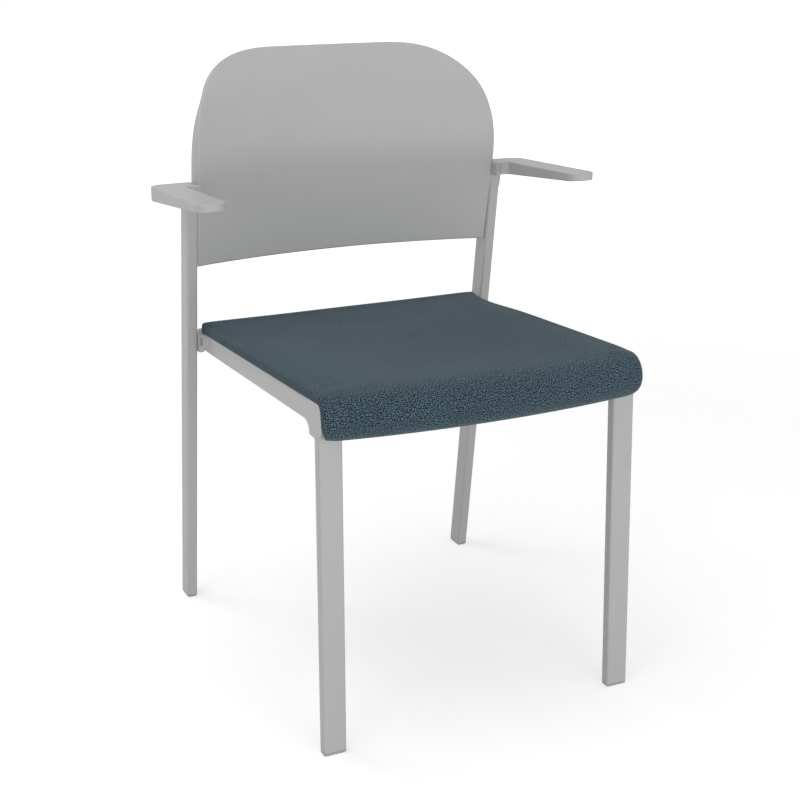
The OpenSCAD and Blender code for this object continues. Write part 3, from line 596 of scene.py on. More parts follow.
class Finishes:
    """Every finish of the chair, each made once."""

    def __init__(self) -> None:
        """Builds the materials."""
        effects = Effects()
        self.paint = SatinFinish(
            "tube_powder_coat", (0.464, 0.464, 0.463), roughness=0.4, grain_scale=750.0, grain_soften=0.6,
            grain_depth_mm=0.03, tone_change=0.03, marks=0.2).material(effects)
        self.cast = SatinFinish(
            "rail_powder_coat", (0.5, 0.5, 0.498), roughness=0.45, grain_scale=600.0, grain_soften=0.4,
            grain_depth_mm=0.04, tone_change=0.05, marks=0.3).material(effects)
        self.shell = SatinFinish(
            "moulded_shell", (0.473, 0.473, 0.472), roughness=0.5, grain_scale=1500.0, grain_soften=0.2,
            grain_depth_mm=0.03, tone_change=0.03, marks=0.35).material(effects)
        self.glide = SatinFinish(
            "glide_plastic", (0.4, 0.4, 0.398), roughness=0.5, grain_scale=1300.0, grain_soften=0.3,
            grain_depth_mm=0.03, tone_change=0.05, marks=0.4).material(effects)
        self.pan = SatinFinish(
            "pan_plastic", (0.022, 0.023, 0.025), roughness=0.55, grain_scale=1100.0, grain_soften=0.3,
            grain_depth_mm=0.05, tone_change=0.15, marks=0.5).material(effects)
        self.cloth = ClothFinish().material(effects)
        self.zinc = ZincFinish().material(effects)


# Sub-assemblies


@dataclass
class SeatForm:
    """The shape of the seat: a dished pad that rolls down over the front. Millimetres."""

    width: float = 441.0
    top_z: float = 467.7
    slope_deg: float = 3.25
    flat: float = 447.5
    nose_y: float = 16.0
    nose_drop: float = 19.7
    nose_turn_deg: float = 170.0
    nose_tuck: float = 2.2
    core_y: float = 14.0
    core_low: float = 23.0
    core_power: float = 3.0
    pad_h: float = 11.1
    edge_reach: float = 5.0
    edge_h: float = 3.6
    nose_reach: float = 12.0
    nose_edge_h: float = 9.0
    turn_start: float = 40.0
    corner_r: float = 4.0
    hem_corner: float = 14.0
    hem_corner_l: float = 20.0
    end_r: float = 2.5
    rear_dip: float = 3.0
    rear_dip_y: float = 400.0
    rear_dip_w: float = 70.0
    rear_lip: float = 3.4
    rear_lip_w: float = 28.0
    bow: float = 20.4
    bow_fade: float = 190.0
    dish: float = 7.0
    dish_fade: float = 110.0
    pan_t: float = 3.0
    pan_dish: float = 12.0
    pan_flat_x: float = 189.5
    cover_t: float = 1.2
    foam_least: float = 0.4
    draw_in: float = 0.8

    @property
    def rear_y(self) -> float:
        """Depth of the rear edge."""
        return self.nose_y + self.flat

    @property
    def nose_r(self) -> float:
        """Outside radius of the rolled front."""
        return self.nose_drop + self.pad_h

    @property
    def nose_path(self) -> float:
        """Length of the pattern round the front."""
        return (self.nose_r + self.core_y) / 2 * math.radians(self.nose_turn_deg)

    @property
    def path(self) -> float:
        """Length of the pattern from the rear edge to the hem in front."""
        return self.flat + self.nose_path

    def angle(self, v: np.ndarray) -> np.ndarray:
        """Turn round the front, in radians, at distance v along the pattern."""
        return math.radians(self.nose_turn_deg) * np.clip(v - self.flat, 0, None) / self.nose_path

    def core_r(self, a: np.ndarray) -> np.ndarray:
        """Radius of the pan's nose at turn a."""
        tall = np.where(a < math.pi / 2, self.nose_drop, self.core_low)
        return ((np.abs(np.sin(a)) / self.core_y) ** self.core_power
                + (np.abs(np.cos(a)) / tall) ** self.core_power) ** (-1 / self.core_power)

    @staticmethod
    def edge_fall(d: np.ndarray, r: float) -> np.ndarray:
        """How far an edge of radius r falls at distance d from it."""
        e = np.clip(r - d, 0, r)
        return r - np.sqrt(r * r - e * e)

    def side_fall(self, d: np.ndarray, v: np.ndarray) -> np.ndarray:
        """How far the pad's rounded side falls at distance d from it."""
        turned = smooth_step(self.flat - self.turn_start, self.flat + self.nose_path / 2, v)
        tall = self.edge_h + (self.nose_edge_h - self.edge_h) * turned
        e = np.clip(1 - d / (self.edge_reach + (self.nose_reach - self.edge_reach) * turned), 0, 1)
        return tall * (1 - np.sqrt(1 - e * e))

    def half_width(self, v: np.ndarray) -> np.ndarray:
        """Half the width at distance v, with the outline's rounded corners."""
        e = np.clip(1 - np.clip(self.path - v, 0, None) / self.hem_corner_l, 0, 1)
        hem = self.hem_corner * (1 - np.sqrt(1 - e * e))
        return self.width / 2 - self.edge_fall(np.clip(v, 0, None), self.corner_r) - hem

    def full_h(self, v: np.ndarray) -> np.ndarray:
        """Height of the pad over the rails' line at distance v, inside its rounded edge."""
        y = self.rear_y - v
        dip = self.rear_dip * np.exp(-(((y - self.rear_dip_y) / self.rear_dip_w) ** 2))
        lip = self.rear_lip * smooth_step(self.rear_y - self.rear_lip_w, self.rear_y, y)
        side = self.pad_h - dip + lip
        nose = self.nose_r - self.nose_tuck * smooth_step(self.flat, self.path, v) - self.core_r(self.angle(v))
        return np.where(v < self.flat, side, nose)

    def along_fade(self, v: np.ndarray) -> np.ndarray:
        """Fades the hollow out at the rear edge and at the rolled front."""
        return smooth_step(0, self.dish_fade, v) * smooth_step(0, self.dish_fade, self.flat - v)

    def pan_fall(self, x: np.ndarray, v: np.ndarray) -> np.ndarray:
        """Depth of the pan's hollow."""
        return self.pan_dish * self.along_fade(v) * np.clip(1 - (x / self.pan_flat_x) ** 2, 0, None) ** 2

    def face_h(self, x: np.ndarray, v: np.ndarray) -> np.ndarray:
        """Height of the pad's face over the rails' line."""
        fall = self.dish * self.along_fade(v) * (1 - (x / (self.width / 2)) ** 2) ** 2 + np.maximum(
            self.side_fall(self.half_width(v) - np.abs(x), v),
            self.edge_fall(np.minimum(v, self.path - v), self.end_r))
        least = self.pan_t - self.pan_fall(x, v) + self.cover_t + self.foam_least
        return np.maximum(self.full_h(v) - fall, least)

    def point(self, x: np.ndarray, v: np.ndarray, h: np.ndarray) -> np.ndarray:
        """Points at height h over the rails' line, at distance v along the pattern and x across it.

        Args:
            x: Distances across, from the middle.
            v: Distances along the pattern, from the rear edge.
            h: Heights.

        Returns:
            Points in shop millimetres.
        """
        a = self.angle(v)
        r = np.where(a > 0, self.core_r(a), self.nose_drop)
        bow = self.bow * (1 - (x / (self.width / 2)) ** 2) * smooth_step(self.flat - self.bow_fade, self.flat, v)
        y = np.where(v < self.flat, self.rear_y - v, self.nose_y) - (r + h) * np.sin(a) - bow
        z = (r + h) * np.cos(a) - self.nose_drop
        tilt = math.radians(self.slope_deg)
        return np.stack([x, y * math.cos(tilt) + z * math.sin(tilt),
                         self.top_z - y * math.sin(tilt) + z * math.cos(tilt)], -1)

    def border_normal(self, across: np.ndarray, v: np.ndarray) -> np.ndarray:
        """Outward direction on the pattern at its border, as rows of across and along."""
        step = 0.05
        slope = (self.half_width(v + step) - self.half_width(v - step)) / (2 * step)
        side = np.stack([np.sign(across) * np.ones_like(v), -slope], -1)
        side /= np.linalg.norm(side, axis=1)[:, None]
        end = np.stack([np.zeros_like(v), np.where(v < self.path / 2, -1.0, 1.0)], -1)
        return np.where((np.abs(across) > 1 - 1e-4)[:, None], side, end)


@dataclass
class SeatPad:
    """The upholstered seat: foam and cover over the pan, as one padded piece.

    hem_rings lead down the bulging side, round the hem, up inside it and back over the pan. Each has its
    share of the way down, its share of the bulge (below 0 is outwards), and how far it is in and up.
    """

    form: SeatForm
    columns: int = 84
    rows: int = 104
    column_crowding: float = 0.45
    crown_mm: float = 1.4
    bulge_mm: float = 0.9
    hem_drop_mm: float = 1.6
    hem_in_mm: float = 3.0
    hem_up_mm: float = 2.0
    wall_gather: float = 2.0
    hem_rings: tuple[tuple[float, float, float, float], ...] = (
        (0.0, 0.0, 0.0, 0.0), (0.3, -0.55, 0.0, 0.0), (0.62, -0.9, 0.0, 0.0), (0.88, -1.0, 0.0, 0.0),
        (1.0, -0.75, 0.0, 0.0), (0.96, 0.4, 0.0, 0.0), (0.9, 0.0, 1.0, 0.5), (0.9, 0.0, 1.0, 1.0),
    )
    frames: int = 16
    cloth_quality: int = 6
    cloth_mass: float = 0.3
    cloth_stiffness: float = 18.0
    cloth_bending: float = 3.0
    foam_pressure: float = 4.0

    def pattern(self, place: np.ndarray) -> tuple[np.ndarray, np.ndarray]:
        """Distances across and along the pattern, in millimetres, for points of the grid."""
        c, t = place[:, 0], (1 - place[:, 1]) / 2
        c = c * (1 + self.column_crowding * (1 - c * c))
        v = self.form.path * t
        return c * self.form.half_width(v), v

    def lay(self, place: np.ndarray) -> tuple[np.ndarray, np.ndarray]:
        """Lays the grid, the drawn-in hem and the underside.

        Args:
            place: Rows of across, along and ring.

        Returns:
            Points in metres, and the pattern's own coordinates in metres.
        """
        form, k = self.form, place[:, 2].astype(int)
        x, v = self.pattern(place)
        face = form.face_h(x, v)
        out = form.border_normal(place[:, 0], v)
        inset = form.draw_in + form.cover_t
        down, drawn, inward, up = np.array(self.hem_rings)[k].T
        beside = np.abs(out[:, 0])
        pull = self.bulge_mm * beside * drawn + inset * inward
        low = -self.hem_drop_mm * beside
        h = face + (low - face) * down + form.pan_t * up
        h = np.where(inward > 0, form.pan_t * up, h)
        last = k == len(self.hem_rings) - 1
        px = np.where(last, x * (1 - inset / (form.width / 2)), x - out[:, 0] * pull)
        pv = np.where(last, inset + v * (1 - 2 * inset / form.path), v - out[:, 1] * pull)
        h = h - np.where(k > 0, form.pan_fall(px, pv), 0.0)
        points = form.point(px, pv, h)
        unrolled = self.wall_gather * face * down + (self.hem_in_mm + inset) * inward + self.hem_up_mm * up
        unrolled = np.where(k > 0, unrolled, 0.0)
        uv = (np.stack([x, v], -1) + out * unrolled[:, None]) / 1000
        return in_frame(points), uv

    def plump(self, piece: bpy.types.Object) -> None:
        """Swells the cover over its foam with a short cloth run, held at the hem and within the crown."""
        mesh = piece.data
        places = np.zeros(len(mesh.vertices) * 3, np.float32)
        mesh.attributes["place"].data.foreach_get("vector", places)
        places = places.reshape(-1, 3)
        free = (places[:, 2] == 0) & (np.abs(places[:, :2]).max(1) < 1 - 1e-3)
        rest = np.zeros(len(mesh.vertices) * 3)
        mesh.vertices.foreach_get("co", rest)
        hem = piece.vertex_groups.new(name="hem")
        hem.add([int(i) for i in np.flatnonzero(~free)], 1.0, "REPLACE")
        modifier = piece.modifiers.new("cloth", "CLOTH")
        cloth = modifier.settings
        cloth.vertex_group_mass = "hem"
        cloth.quality = self.cloth_quality
        cloth.mass = self.cloth_mass
        cloth.tension_stiffness = cloth.compression_stiffness = self.cloth_stiffness
        cloth.bending_stiffness = self.cloth_bending
        cloth.use_pressure = True
        cloth.uniform_pressure_force = self.foam_pressure
        cloth.effector_weights.gravity = 0.0
        scene = bpy.context.scene
        modifier.point_cache.frame_start, modifier.point_cache.frame_end = 1, self.frames
        for step in range(1, self.frames + 1):
            scene.frame_set(step)
        activate(piece)
        bpy.ops.object.modifier_apply(modifier="cloth")
        scene.frame_set(1)
        piece.vertex_groups.clear()
        moved = np.zeros(len(mesh.vertices) * 3)
        mesh.vertices.foreach_get("co", moved)
        change = (moved - rest).reshape(-1, 3)
        size = np.linalg.norm(change, axis=1)
        cap = self.crown_mm / 1000
        log.info("cloth moved up to %.2f mm, capped at %.2f mm", size.max() * 1000, self.crown_mm)
        kept = cap * np.tanh(size / cap)
        change *= (kept / np.maximum(size, 1e-9))[:, None]
        mesh.vertices.foreach_set("co", (rest.reshape(-1, 3) + change).ravel())
        mesh.update()

    def build(self, finishes: Finishes) -> None:
        """Builds the pad and dresses it."""
        pad = sheet_form("seat_pad", self.columns, self.rows, len(self.hem_rings) - 1, self.lay)
        self.plump(pad)
        apply_modifier(pad, "SUBSURF", levels=1, render_levels=1)
        close_up(pad, 60)
        finish_piece(pad, finishes.cloth, ("seat_cover", "seat_foam"))


class DepthFrom(IntEnum):
    """What the depth of a ring over the shell's edge counts from."""

    FRONT = 0
    RIM = 1
    REAR = 2


@dataclass
class BackShell:
    """The one-piece curved back, with side flanges that stand against the uprights. Millimetres."""

    half: float = 228.3
    low_z: float = 540.0
    curl_z: float = 700.0
    curl_r: float = 200.0
    lean_deg: float = 10.5
    wrap_axis_y: float = -342.251
    middle_r: float = 990.752
    top_half: float = 82.0
    rise: float = 147.2
    corner_low: float = 20.0
    power: float = 2.53
    thick: float = 4.5
    side_edge_r: float = 4.0
    top_edge_r: float = 1.9
    rear_edge_r: float = 1.2
    flange_t: float = 4.0
    flange_fillet: float = 2.0
    flange_foot: float = 14.0
    flange_start: float = 2.5
    side_edge_depth: float = 2.0
    corner_rim: float = 1.5
    wrap_fade: float = 0.42
    wrap_fade_z: float = 770.0
    upright_rear_y: float = 545.957
    upright_tilt: float = 0.142857
    columns: int = 76
    rows: int = 92
    column_crowding: float = 0.3
    low_share: float = 0.42
    low_crowding: float = 1.5
    rim_fade: tuple[float, float] = (0.55, 0.98)
    straight_fade: tuple[float, float] = (0.2, 0.95)
    flange_blend: tuple[float, float] = (1.0, 7.0)

    def wrap_r(self, z: np.ndarray) -> np.ndarray:
        """Radius of the front surface about the wrap's axis."""
        up = z - self.curl_z
        lean = math.radians(self.lean_deg)
        start = -self.curl_r * math.sin(lean)
        arc = self.middle_r - np.sqrt(np.clip(self.curl_r**2 - up**2, 1.0, None))
        line = self.middle_r - self.curl_r * math.cos(lean) + (start - up) * math.tan(lean)
        return np.where(up > start, arc, line)

    def front(self, x: np.ndarray, z: np.ndarray) -> np.ndarray:
        """Points of the front surface."""
        r = self.wrap_r(z)
        rise = np.sqrt(r**2 - x**2)
        flatter = self.wrap_fade * smooth_step(self.wrap_fade_z, self.curl_z + self.rise - self.corner_low, z)
        return np.stack([x, self.wrap_axis_y + rise + (r - rise) * flatter, z], -1)

    def rear_normal(self, x: np.ndarray, z: np.ndarray) -> np.ndarray:
        """Direction through the shell, from front to rear."""
        slope = (self.wrap_r(z + 0.05) - self.wrap_r(z - 0.05)) / 0.1
        r = self.wrap_r(z)
        n = np.stack([x, np.sqrt(r**2 - x**2), -r * slope], -1)
        return n / np.linalg.norm(n, axis=1)[:, None]

    def outline(self, along: np.ndarray) -> np.ndarray:
        """The right-hand outline, seen from the front, as rows of x and z for along from 0 to 1."""
        low_span = self.curl_z - self.corner_low - self.low_z
        share = np.clip(along / self.low_share, 0, 1)
        a = np.clip((along - self.low_share) / (1 - self.low_share), 0, 1) * math.pi / 2
        s = (self.rise + self.corner_low) * np.sin(a) ** (2 / self.power) - self.corner_low
        z_up = self.curl_z + np.where(s < 0, s, self.curl_r * np.sin(np.clip(s, 0, None) / self.curl_r))
        x_up = self.top_half + (self.half - self.top_half) * np.clip(np.cos(a), 0, 1) ** (2 / self.power)
        low = along < self.low_share
        z_low = self.low_z + low_span * share**self.low_crowding
        return np.stack([np.where(low, self.half, x_up), np.where(low, z_low, z_up)], -1)

    def outline_normal(self, along: np.ndarray) -> np.ndarray:
        """Outward normal of the outline."""
        step = 1e-4
        a, b = self.outline(np.clip(along - step, 0, 1)), self.outline(np.clip(along + step, 0, 1))
        d = b - a
        n = np.stack([d[:, 1], -d[:, 0]], -1)
        n /= np.maximum(np.linalg.norm(n, axis=1), 1e-12)[:, None]
        top = along > 1 - 1e-6
        return np.where(top[:, None], np.array([0.0, 1.0]), n)

    def lay(self, place: np.ndarray) -> tuple[np.ndarray, np.ndarray]:
        """Lays the front, the edge with its flanges, and the rear.

        Args:
            place: Rows of across, along and ring.

        Returns:
            Points in metres, and the front's own coordinates in metres.
        """
        c, along, ring = place[:, 0], (place[:, 1] + 1) / 2, place[:, 2].astype(int)
        sign, side, foot = np.sign(c), np.abs(c) > 1 - 1e-5, along < 1e-5
        middle_foot, corner = foot & ~side, foot & side
        edge, normal = self.outline(along), self.outline_normal(along)
        c = c * (1 + self.column_crowding * (1 - c * c))
        # Front: rows of the outline, drawn in by the edge's radius
        r_edge = self.top_edge_r + (self.side_edge_r - self.top_edge_r) * normal[:, 0] ** 2
        inner = edge - normal * r_edge[:, None]
        inner[foot] = [self.half - self.side_edge_r, self.low_z + self.top_edge_r]
        front_xz = np.stack([c * inner[:, 0], inner[:, 1]], -1)
        # Border points of the outline itself, and the way out from them
        border = np.stack([np.where(side, sign * edge[:, 0], c * inner[:, 0]), edge[:, 1]], -1)
        outwards = np.stack([sign * normal[:, 0], normal[:, 1]], -1)
        away = np.where(side[:, None], outwards, np.array([0.0, 1.0]))
        away[middle_foot] = [0.0, -1.0]
        draw_front = away * r_edge[:, None]
        draw_front[middle_foot] = [0.0, -self.top_edge_r]
        both_edges = np.stack([sign * self.side_edge_r, np.full(len(c), -self.top_edge_r)], -1)
        draw_front[corner] = both_edges[corner]
        away[corner] = np.stack([sign, -np.ones(len(c))], -1)[corner]
        # Depth of the rim behind the front surface, which grows into the flanges down the sides
        to_upright = (self.upright_rear_y - self.upright_tilt * border[:, 1]
                      - self.front(border[:, 0], border[:, 1])[:, 1])
        upness = np.where(side, np.clip(normal[:, 1], 0, 1), 1.0)
        rim = self.thick + self.corner_rim * np.where(side, 1 - smooth_step(*self.rim_fade, upness), 0.0)
        deep = rim + self.flange_start * np.logaddexp(0.0, (to_upright - rim) / self.flange_start)
        near_foot = np.clip((border[:, 1] - self.low_z) / self.flange_foot, 0, 1)
        deep = self.thick + (deep - self.thick) * np.sqrt(1 - (1 - near_foot) ** 2)
        deep = np.where(side, deep, self.thick)
        flange = smooth_step(*self.flange_blend, deep - self.thick)
        through = self.rear_normal(border[:, 0], border[:, 1])
        straight = np.where(side, 1 - smooth_step(*self.straight_fade, upness), 0.0)[:, None]
        through = through * (1 - straight) + np.array([0.0, 1.0, 0.0]) * straight
        through /= np.linalg.norm(through, axis=1)[:, None]
        # Ring by ring
        rings = np.array(self.rings())
        share, inset_f, depth, counted, inset_p = rings[ring].T
        r_small = np.where(side & ~corner, np.minimum(r_edge, self.side_edge_depth), self.top_edge_r)
        cases = [counted == DepthFrom.RIM, counted == DepthFrom.REAR]
        depth_f = np.select(cases, [deep + depth, self.thick + depth], depth * r_small)
        rounding = np.where(inset_p > self.rear_edge_r, 0.0, depth)
        depth_p = np.select(cases, [deep + rounding, deep], depth * r_small)
        depth = depth_p * (1 - flange) + depth_f * flange
        inset = inset_p * (1 - flange) + inset_f * flange
        spot = border - draw_front * share[:, None] - away * inset[:, None]
        edge3 = self.front(spot[:, 0], spot[:, 1]) + through * depth[:, None]
        # Rear: the same rows, drawn in by the last ring's inset
        last_in = self.flange_t + self.flange_fillet
        rear_in = edge - normal * last_in
        rear_in[foot] = [self.half - last_in, self.low_z + last_in]
        rear_xz = c * rear_in[:, 0], rear_in[:, 1]
        rear3 = self.front(*rear_xz) + self.rear_normal(*rear_xz) * self.thick
        front3 = self.front(front_xz[:, 0], front_xz[:, 1])
        last = (ring == len(rings) - 1)[:, None]
        points = np.where((ring == 0)[:, None], front3, np.where(last, rear3, edge3))
        return in_frame(points), front_xz / 1000

    def rings(self) -> list[tuple[float, float, float, DepthFrom, float]]:
        """The rings over the edge, from the front border to the rear one.

        Returns:
            Each ring's share of the front rounding, its inset on a flange, its depth (at the front a share
            of the rounding), what the depth counts from, and its inset on a plain edge.
        """
        def quarter(steps: int) -> list[float]:
            """Angles of a quarter turn."""
            return [math.pi / 2 * i / steps for i in range(steps + 1)]

        rr, w, f = self.rear_edge_r, self.flange_t, self.flange_fillet
        # On a plain edge the inner rings lie evenly between the rear rounding and the last ring
        even = [rr + (0.8 + i) * (w + f - rr) / 7 for i in range(6)]
        rings = [(1.0, 0.0, 0.0, DepthFrom.FRONT, 0.0)]
        for p in quarter(5)[1:]:
            rings.append((1 - math.sin(p), 0.0, 1 - math.cos(p), DepthFrom.FRONT, 0.0))
        for p in quarter(3):
            inset = rr * (1 - math.cos(p))
            rings.append((0.0, inset, -rr * (1 - math.sin(p)), DepthFrom.RIM, inset))
        for p, inset in zip(quarter(2), even[:3]):
            rings.append((0.0, w - rr * (1 - math.sin(p)), -rr * (1 - math.cos(p)), DepthFrom.RIM, inset))
        for p, inset in zip(quarter(3), even[3:]):
            rings.append((0.0, w + f * (1 - math.cos(p)), f * (1 - math.sin(p)), DepthFrom.REAR, inset))
        return [*rings, (0.0, w + f, 0.0, DepthFrom.REAR, w + f)]

    def build(self, finishes: Finishes) -> None:
        """Builds the shell and dresses it."""
        shell = sheet_form("back_shell", self.columns, self.rows, len(self.rings()) - 1, self.lay)
        close_up(shell, smooth_deg=50)
        finish_piece(shell, finishes.shell, ("back_panel",))


@dataclass
class Upright:
    """The flat tube that runs from a rear foot to the arm. Millimetres."""

    centre_x: float = 236.05
    foot_y: float = 530.3
    lean_deg: float = 8.13
    wide: float = 31.0
    thick: float = 15.5
    corner_r: float = 3.0

    def centre_y(self, z: float) -> float:
        """Depth of the tube's centre line at a height."""
        return self.foot_y - z * math.tan(math.radians(self.lean_deg))

    def loop(self, z: float, grow: float) -> Loop:
        """The tube's level outline at a height, grown by a distance, in shop millimetres."""
        deep = (self.wide + 2 * grow) / math.cos(math.radians(self.lean_deg))
        flat = rounded_rectangle(self.thick + 2 * grow, deep, max(LEAST_R_MM, self.corner_r + grow))
        return np.column_stack([
            flat[:, 0] + self.centre_x, flat[:, 1] + self.centre_y(z), np.full(len(flat), z)])


@dataclass
class FrontLeg:
    """The flat tube of a front leg, which stands in the rail's knuckle. Millimetres."""

    seam_z: float = 420.0
    seam_x: float = 205.6
    seam_y: float = 18.6
    splay_deg: float = 0.58
    rake_deg: float = 1.48
    wide: float = 31.0
    thick: float = 15.5
    corner_r: float = 3.0

    def loop(self, z: float, grow: float) -> Loop:
        """The tube's level outline at a height, grown by a distance, in shop millimetres."""
        flat = rounded_rectangle(
            self.wide + 2 * grow, self.thick + 2 * grow, max(LEAST_R_MM, self.corner_r + grow))
        down = self.seam_z - z
        return np.column_stack([
            flat[:, 0] + self.seam_x + down * math.tan(math.radians(self.splay_deg)),
            flat[:, 1] + self.seam_y - down * math.tan(math.radians(self.rake_deg)), np.full(len(flat), z)])


def on_side(points: np.ndarray, side: Side) -> np.ndarray:
    """Points drawn on the sitter's left, put on the side given and into metres."""
    return in_frame(points * np.array([float(side.value), 1.0, 1.0]))


def tube_loops(path: Upright | FrontLeg, steps: list[tuple[float, float]], side: Side) -> list[Loop]:
    """A tube's outlines in metres.

    Args:
        path: The tube.
        steps: Heights, each with how far the outline is grown there, in millimetres.
        side: The side that it stands on.

    Returns:
        One loop for each step.
    """
    return [on_side(path.loop(z, grow), side) for z, grow in steps]


@dataclass
class Armrest:
    """A flat arm on the upright's upper end. Millimetres."""

    upright: Upright
    top_z: float = 659.2
    rise_deg: float = 2.85
    length: float = 210.5
    inner_x: float = 228.3
    outer_x: float = 288.9
    width: float = 40.0
    rear_y: float = 456.073
    rear_t: float = 20.2
    front_t: float = 10.7
    root_front: float = 30.0
    hub_slant: float = 10.0
    hub_w: float = 17.0
    hub_r: float = 3.0
    inner_r: float = 8.0
    front_r: float = 18.0
    corner_out: float = 1.0
    corner_slant: float = 4.0
    corner_r: float = 19.4
    collar: float = 1.4
    collar_l: float = 17.0
    collar_fit: float = 0.25
    edge_r: float = 1.4

    @property
    def root_y(self) -> float:
        """Depth of the upright's centre line at the arm."""
        return self.upright.centre_y(self.top_z)

    def top(self, y: np.ndarray) -> np.ndarray:
        """Height of the arm's top."""
        return self.top_z + (self.root_y - y) * math.tan(math.radians(self.rise_deg))

    def low(self, y: np.ndarray) -> np.ndarray:
        """Height of the arm's underside."""
        thinner = np.clip(self.root_y - y, 0, None) * (self.rear_t - self.front_t) / self.length
        return self.top(y) - self.rear_t + thinner

    def plan(self) -> Loop:
        """The arm's outline from above, on the sitter's left."""
        inner, front = self.outer_x - self.width, self.root_y - self.length
        hub_front = self.root_y - self.root_front
        return rounded([
            (self.inner_x, self.rear_y, 0.0), (self.inner_x, hub_front, 0.0),
            (inner, hub_front + self.hub_slant, self.inner_r),
            (inner, front, self.front_r), (self.outer_x, front, self.front_r),
            (self.outer_x + self.corner_out, self.rear_y - self.corner_slant, self.corner_r),
            (self.inner_x + self.hub_w, self.rear_y, self.hub_r)], steps=14)

    def slab(self, side: Side) -> bpy.types.Object:
        """The arm's flat body, with its edges rolled."""
        plan, blank_h = self.plan(), 100.0
        loops = [on_side(np.column_stack([plan, np.full(len(plan), z)]), side) for z in (0.0, blank_h)]
        piece = loft("arm", loops)
        activate(piece)
        bpy.ops.object.mode_set(mode="EDIT")
        bpy.ops.mesh.select_all(action="SELECT")
        bpy.ops.mesh.bisect(plane_co=in_frame(np.array([0.0, self.root_y, 0.0])), plane_no=(0.0, 1.0, 0.0))
        edit = bmesh.from_edit_mesh(piece.data)
        for vert in edit.verts:
            y = vert.co.y * 1000 + MID_Y_MM
            vert.co.z = float(self.top(y) if vert.co.z > blank_h / 2000 else self.low(y)) / 1000
        bmesh.update_edit_mesh(piece.data)
        bpy.ops.object.mode_set(mode="OBJECT")
        close_up(piece, 30)
        roll_edges(piece, self.edge_r, segments=4)
        return piece

    def sleeve(self, side: Side) -> bpy.types.Object:
        """The collar under the arm, which tapers to the tube."""
        low, high, fit = self.top_z - self.rear_t - self.collar_l, self.collar_l + 4.0, self.collar_fit
        # How far over the collar's lower edge, and how far out of the tube
        steps = [(6.0, fit), (0.0, fit), (0.0, 0.35), (0.5, 0.75), (2.0, 0.95), (9.0, 1.2),
                 (self.collar_l, self.collar), (high, self.collar), (high, fit)]
        loops = tube_loops(self.upright, [(low + up, grow) for up, grow in steps], side)
        piece = loft("collar", [*loops, loops[0]], closed=False)
        close_up(piece, 30)
        return piece

    def build(self, side: Side, finishes: Finishes) -> None:
        """Builds one arm and dresses it."""
        word = side.name.lower()
        arm = join(f"{word}_armrest", [self.slab(side), self.sleeve(side)])
        close_up(arm, 35)
        even_normals(arm)
        finish_piece(arm, finishes.shell, (f"{word}_arm",))


@dataclass
class Tube:
    """A length of flat tube between two heights, with softened ends, and the glide under it. Millimetres."""

    path: FrontLeg | Upright
    node: str
    top_z: float
    sole_h: float = 4.0
    end_r: float = 0.5

    def build(self, side: Side, finishes: Finishes) -> None:
        """Builds the tube and its glide, and dresses both."""
        word = side.name.lower()
        low, high, r = self.sole_h, self.top_z, self.end_r
        # Heights, and how far each loop is grown from the tube's outline
        steps = [(low, -r), (low + 0.3 * r, -0.4 * r), (low + r, 0.0),
                 (high - r, 0.0), (high - 0.3 * r, -0.4 * r), (high, -r)]
        tube = loft(f"{word}_{self.node}_tube", tube_loops(self.path, steps, side))
        close_up(tube, smooth_deg=32)
        even_normals(tube)
        finish_piece(tube, finishes.paint, (f"{word}_{self.node}",))
        end = "front" if isinstance(self.path, FrontLeg) else "rear"
        sole = [(0.0, -2.0), (0.35, -1.3), (1.5, -0.35), (2.2, -0.2), (low - 0.5, -0.2), (low - 0.4, -0.8),
                (low + 0.6, -0.8)]
        glide = loft(f"{word}_{end}_foot", tube_loops(self.path, sole, side))
        close_up(glide, smooth_deg=32)
        even_normals(glide)
        finish_piece(glide, finishes.glide, (f"{word}_{end}_glide",))


